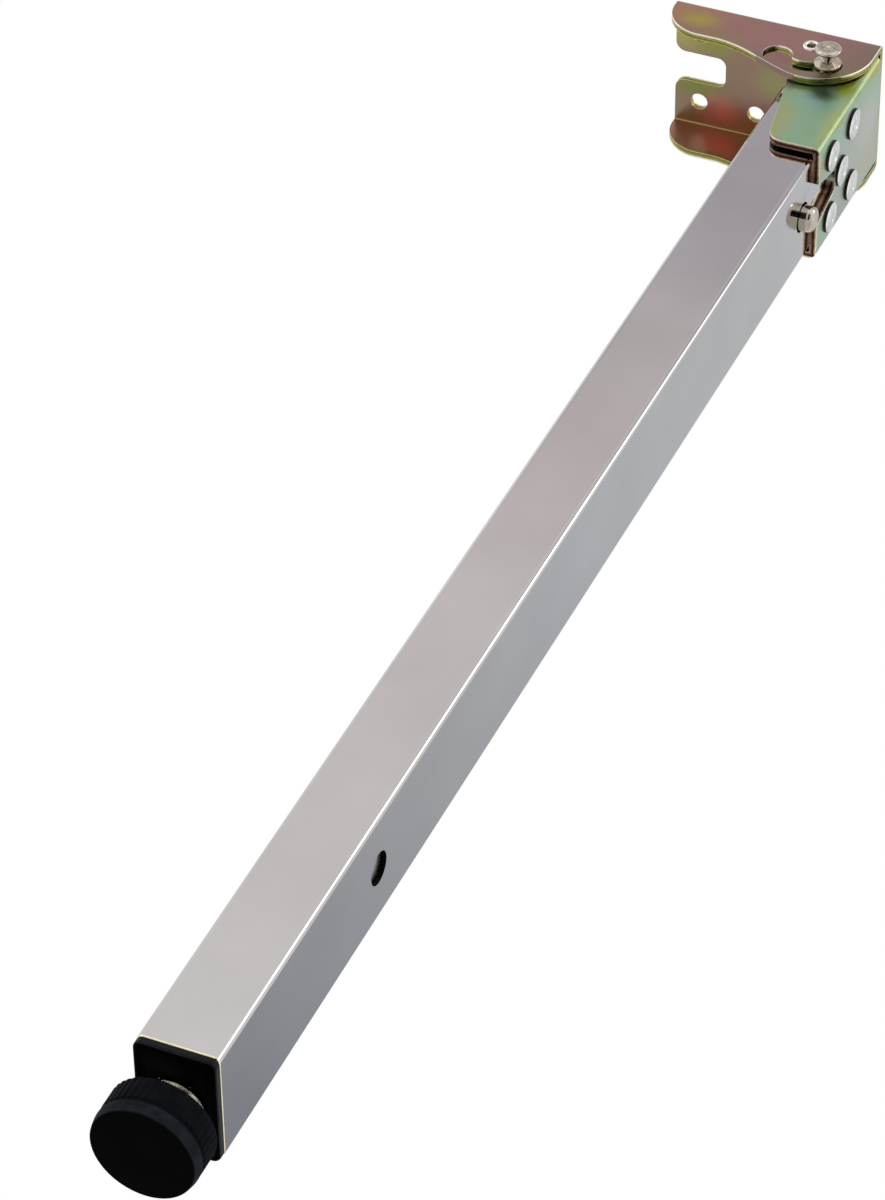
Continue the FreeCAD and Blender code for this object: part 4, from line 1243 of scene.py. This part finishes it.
@dataclass
class Studio:
    """Pale floor, plain world, soft lights and the camera, in metres.

    Attributes:
        ambient: strength of the world as a light.
        paper, card: hex colours of the floor and of the black card.
        floor_depth, floor_size: depth of the floor under the table and its side.
        ceiling_height, ceiling_half: height of the ceiling and half its sides.
        tones: place along Y and hex colour of the ceiling.
        boxes: name, place, side and radiance of each soft box.
        aim: point at which the soft boxes look.
        flag_place, flag_half, flag_lean: middle, half sides and lean of the black card.
        lens: focal length, in millimetres.
        eye, right, up: the camera's place, its right and its up.
    """

    ambient: float = 0.75
    paper: str = "f4f4f2"
    card: str = "0c0c0e"
    floor_depth: float = 1.35
    floor_size: float = 40.0
    ceiling_height: float = 1.5
    ceiling_half: tuple[float, float] = (1.25, 3.4)
    tones: Stops = (
        (-2.3, "ffffff"), (-1.9, "fffcfa"), (-1.67, "f9f6f5"), (-1.45, "eae1e2"), (-1.3, "e2dedf"),
        (-1.2, "cfcbd3"), (-1.15, "cdc9cf"), (0.0, "e4e4e6"), (1.05, "e2e6ea"), (1.2, "d8dcdd"),
        (1.5, "cfd4d9"), (1.75, "c4c8cd"), (2.2, "9ca2a9"), (3.2, "868a90"))
    boxes: tuple[tuple[str, Point, float, float], ...] = (
        ("key", (1.5, -0.75, 1.4), 0.9, 3.0), ("fill", (-1.6, -1.6, -0.2), 1.2, 0.9))
    aim: Point = (0.0, 0.0, -0.2)
    flag_place: Point = (0.55, -0.95, -1.0)
    flag_half: tuple[float, float] = (0.4, 0.85)
    flag_lean: float = math.radians(-45)
    lens: float = 148.19
    eye: Point = (0.36188, -0.76627, -1.08890)
    right: Point = (0.917143, 0.011263, 0.398399)
    up: Point = (-0.246099, -0.770274, 0.588314)

    def world(self) -> None:
        """Plain world: white where the camera, a mirror or a glass looks at it, softer as a light."""
        world = bpy.data.worlds.new("studio")
        bpy.context.scene.world = world
        world.use_nodes = True
        tree = world.node_tree
        tree.nodes.clear()
        ray = add_node(tree, "LightPath")
        seen = add_node(tree, "Math", operation="MAXIMUM",
                        links={0: ray.outputs["Is Camera Ray"], 1: ray.outputs["Is Glossy Ray"]})
        seen = add_node(tree, "Math", operation="MAXIMUM",
                        links={0: seen.outputs[0], 1: ray.outputs["Is Transmission Ray"]})
        strength = add_node(tree, "MapRange", {"To Min": self.ambient, "To Max": 1.0},
                            {"Value": seen.outputs[0]})
        light = add_node(tree, "Background", {"Color": (1, 1, 1, 1)}, {"Strength": strength.outputs[0]})
        add_node(tree, "OutputWorld", links={"Surface": light.outputs[0]})

    def panel(self, name: str, middle: Point, half: tuple[float, float], lean: float = 0.0,
              mirrored: bool = False) -> bpy.types.Object:
        """Adds a flat stage panel.

        Args:
            name: name of the panel.
            middle: its middle in the frame.
            half: half its width along X and its depth.
            lean: angle by which its depth leans up from the Y axis, in radians.
            mirrored: whether only mirrors see it.

        Returns:
            The panel, without a material.
        """
        deep = half[1] * np.array((0.0, math.cos(lean), math.sin(lean)))
        wide = np.array((half[0], 0.0, 0.0))
        mesh = bpy.data.meshes.new(name)
        corners = [np.array(middle) + u * wide + v * deep for u, v in ((-1, -1), (1, -1), (1, 1), (-1, 1))]
        mesh.from_pydata(corners, [], [(0, 1, 2, 3)])
        panel = linked(name, mesh)
        if mirrored:
            panel.visible_camera = panel.visible_diffuse = panel.visible_shadow = False
        return panel

    def floor(self) -> None:
        """Pale floor that is open to a camera below it."""
        floor = self.panel("floor", (0, 0, -self.floor_depth), (self.floor_size / 2, self.floor_size / 2))
        material, tree, output = blank_material("matt_studio_paper")
        side = add_node(tree, "NewGeometry")
        paper = add_node(tree, "BsdfDiffuse", {"Color": linear(self.paper)})
        clear = add_node(tree, "BsdfTransparent")
        mix = add_node(tree, "MixShader",
                       links={0: side.outputs["Backfacing"], 1: paper.outputs[0], 2: clear.outputs[0]})
        tree.links.new(mix.outputs[0], output)
        floor.data.materials.append(material)

    def ceiling(self) -> None:
        """Grey ceiling that only mirrors see, so that bright plating has something to show.

        Its tone runs along Y: white far out in front, grey over the front, paler over the
        object and dark far behind.
        """
        depth = self.ceiling_half[1]
        ceiling = self.panel("ceiling", (0, 0, self.ceiling_height), self.ceiling_half, mirrored=True)
        material, tree, output = blank_material("shaded_ceiling")
        place = add_node(tree, "SeparateXYZ", links={0: add_node(tree, "TexCoord").outputs["Object"]})
        share = add_node(tree, "MapRange", {"From Min": -depth, "From Max": depth},
                         {"Value": place.outputs["Y"]})
        stops = tuple(((y + depth) / (2 * depth), colour) for y, colour in self.tones)
        tone = ramp(tree, share.outputs[0], stops)
        glow = add_node(tree, "Emission", links={"Color": tone})
        tree.links.new(glow.outputs[0], output)
        ceiling.data.materials.append(material)

    def flag(self) -> None:
        """Black card beside the camera: round plated pieces show it as a dark band."""
        flag = self.panel("flag", self.flag_place, self.flag_half, self.flag_lean, mirrored=True)
        material, tree, output = blank_material("black_card")
        card = add_node(tree, "BsdfDiffuse", {"Color": linear(self.card)})
        tree.links.new(card.outputs[0], output)
        flag.data.materials.append(material)

    def lights(self) -> None:
        """Soft boxes: each is a square lamp of the given radiance aimed at the leg."""
        for name, place, side, radiance in self.boxes:
            lamp = bpy.data.lights.new(name, "AREA")
            lamp.size = side
            lamp.energy = radiance * math.pi * side ** 2
            box = linked(name, lamp)
            box.location = place
            box.rotation_euler = (Vector(self.aim) - Vector(place)).to_track_quat("-Z", "Y").to_euler()

    def camera(self) -> None:
        """Sets the camera where the photograph was taken from."""
        data = bpy.data.cameras.new("camera")
        data.lens = self.lens
        camera = linked("camera", data)
        right, up = np.array(self.right), np.array(self.up)
        back = np.cross(right, up)
        turn = np.eye(4)
        turn[:3, 0], turn[:3, 1], turn[:3, 2], turn[:3, 3] = right, up, back, self.eye
        camera.matrix_world = Matrix(turn.tolist())
        bpy.context.scene.camera = camera

    def build(self) -> None:
        """Sets up world, floor, ceiling, card, lights and camera."""
        bpy.context.scene.view_settings.view_transform = "Standard"
        self.world()
        self.floor()
        self.ceiling()
        self.flag()
        self.lights()
        self.camera()


def main() -> None:
    logging.basicConfig(level=logging.INFO, format="%(name)s: %(message)s")
    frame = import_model()
    PressedSheet("base_bracket", "bracket", BRACKET_ZINC, BRACKET_EDGE).build(frame)
    PressedSheet("leg_clip", "leg", CLIP_ZINC, CLIP_EDGE).build(frame)
    SquareTube("outer_tube", "leg").build(frame)
    SquareTube("inner_tube", "inner", INNER_CHROME).build(frame)
    BlindRivets().build()
    Pivot().build()
    Lock().build()
    SnapButton().build()
    LevellingFoot().build(frame)
    Studio().build()


if __name__ == "__main__":
    main()
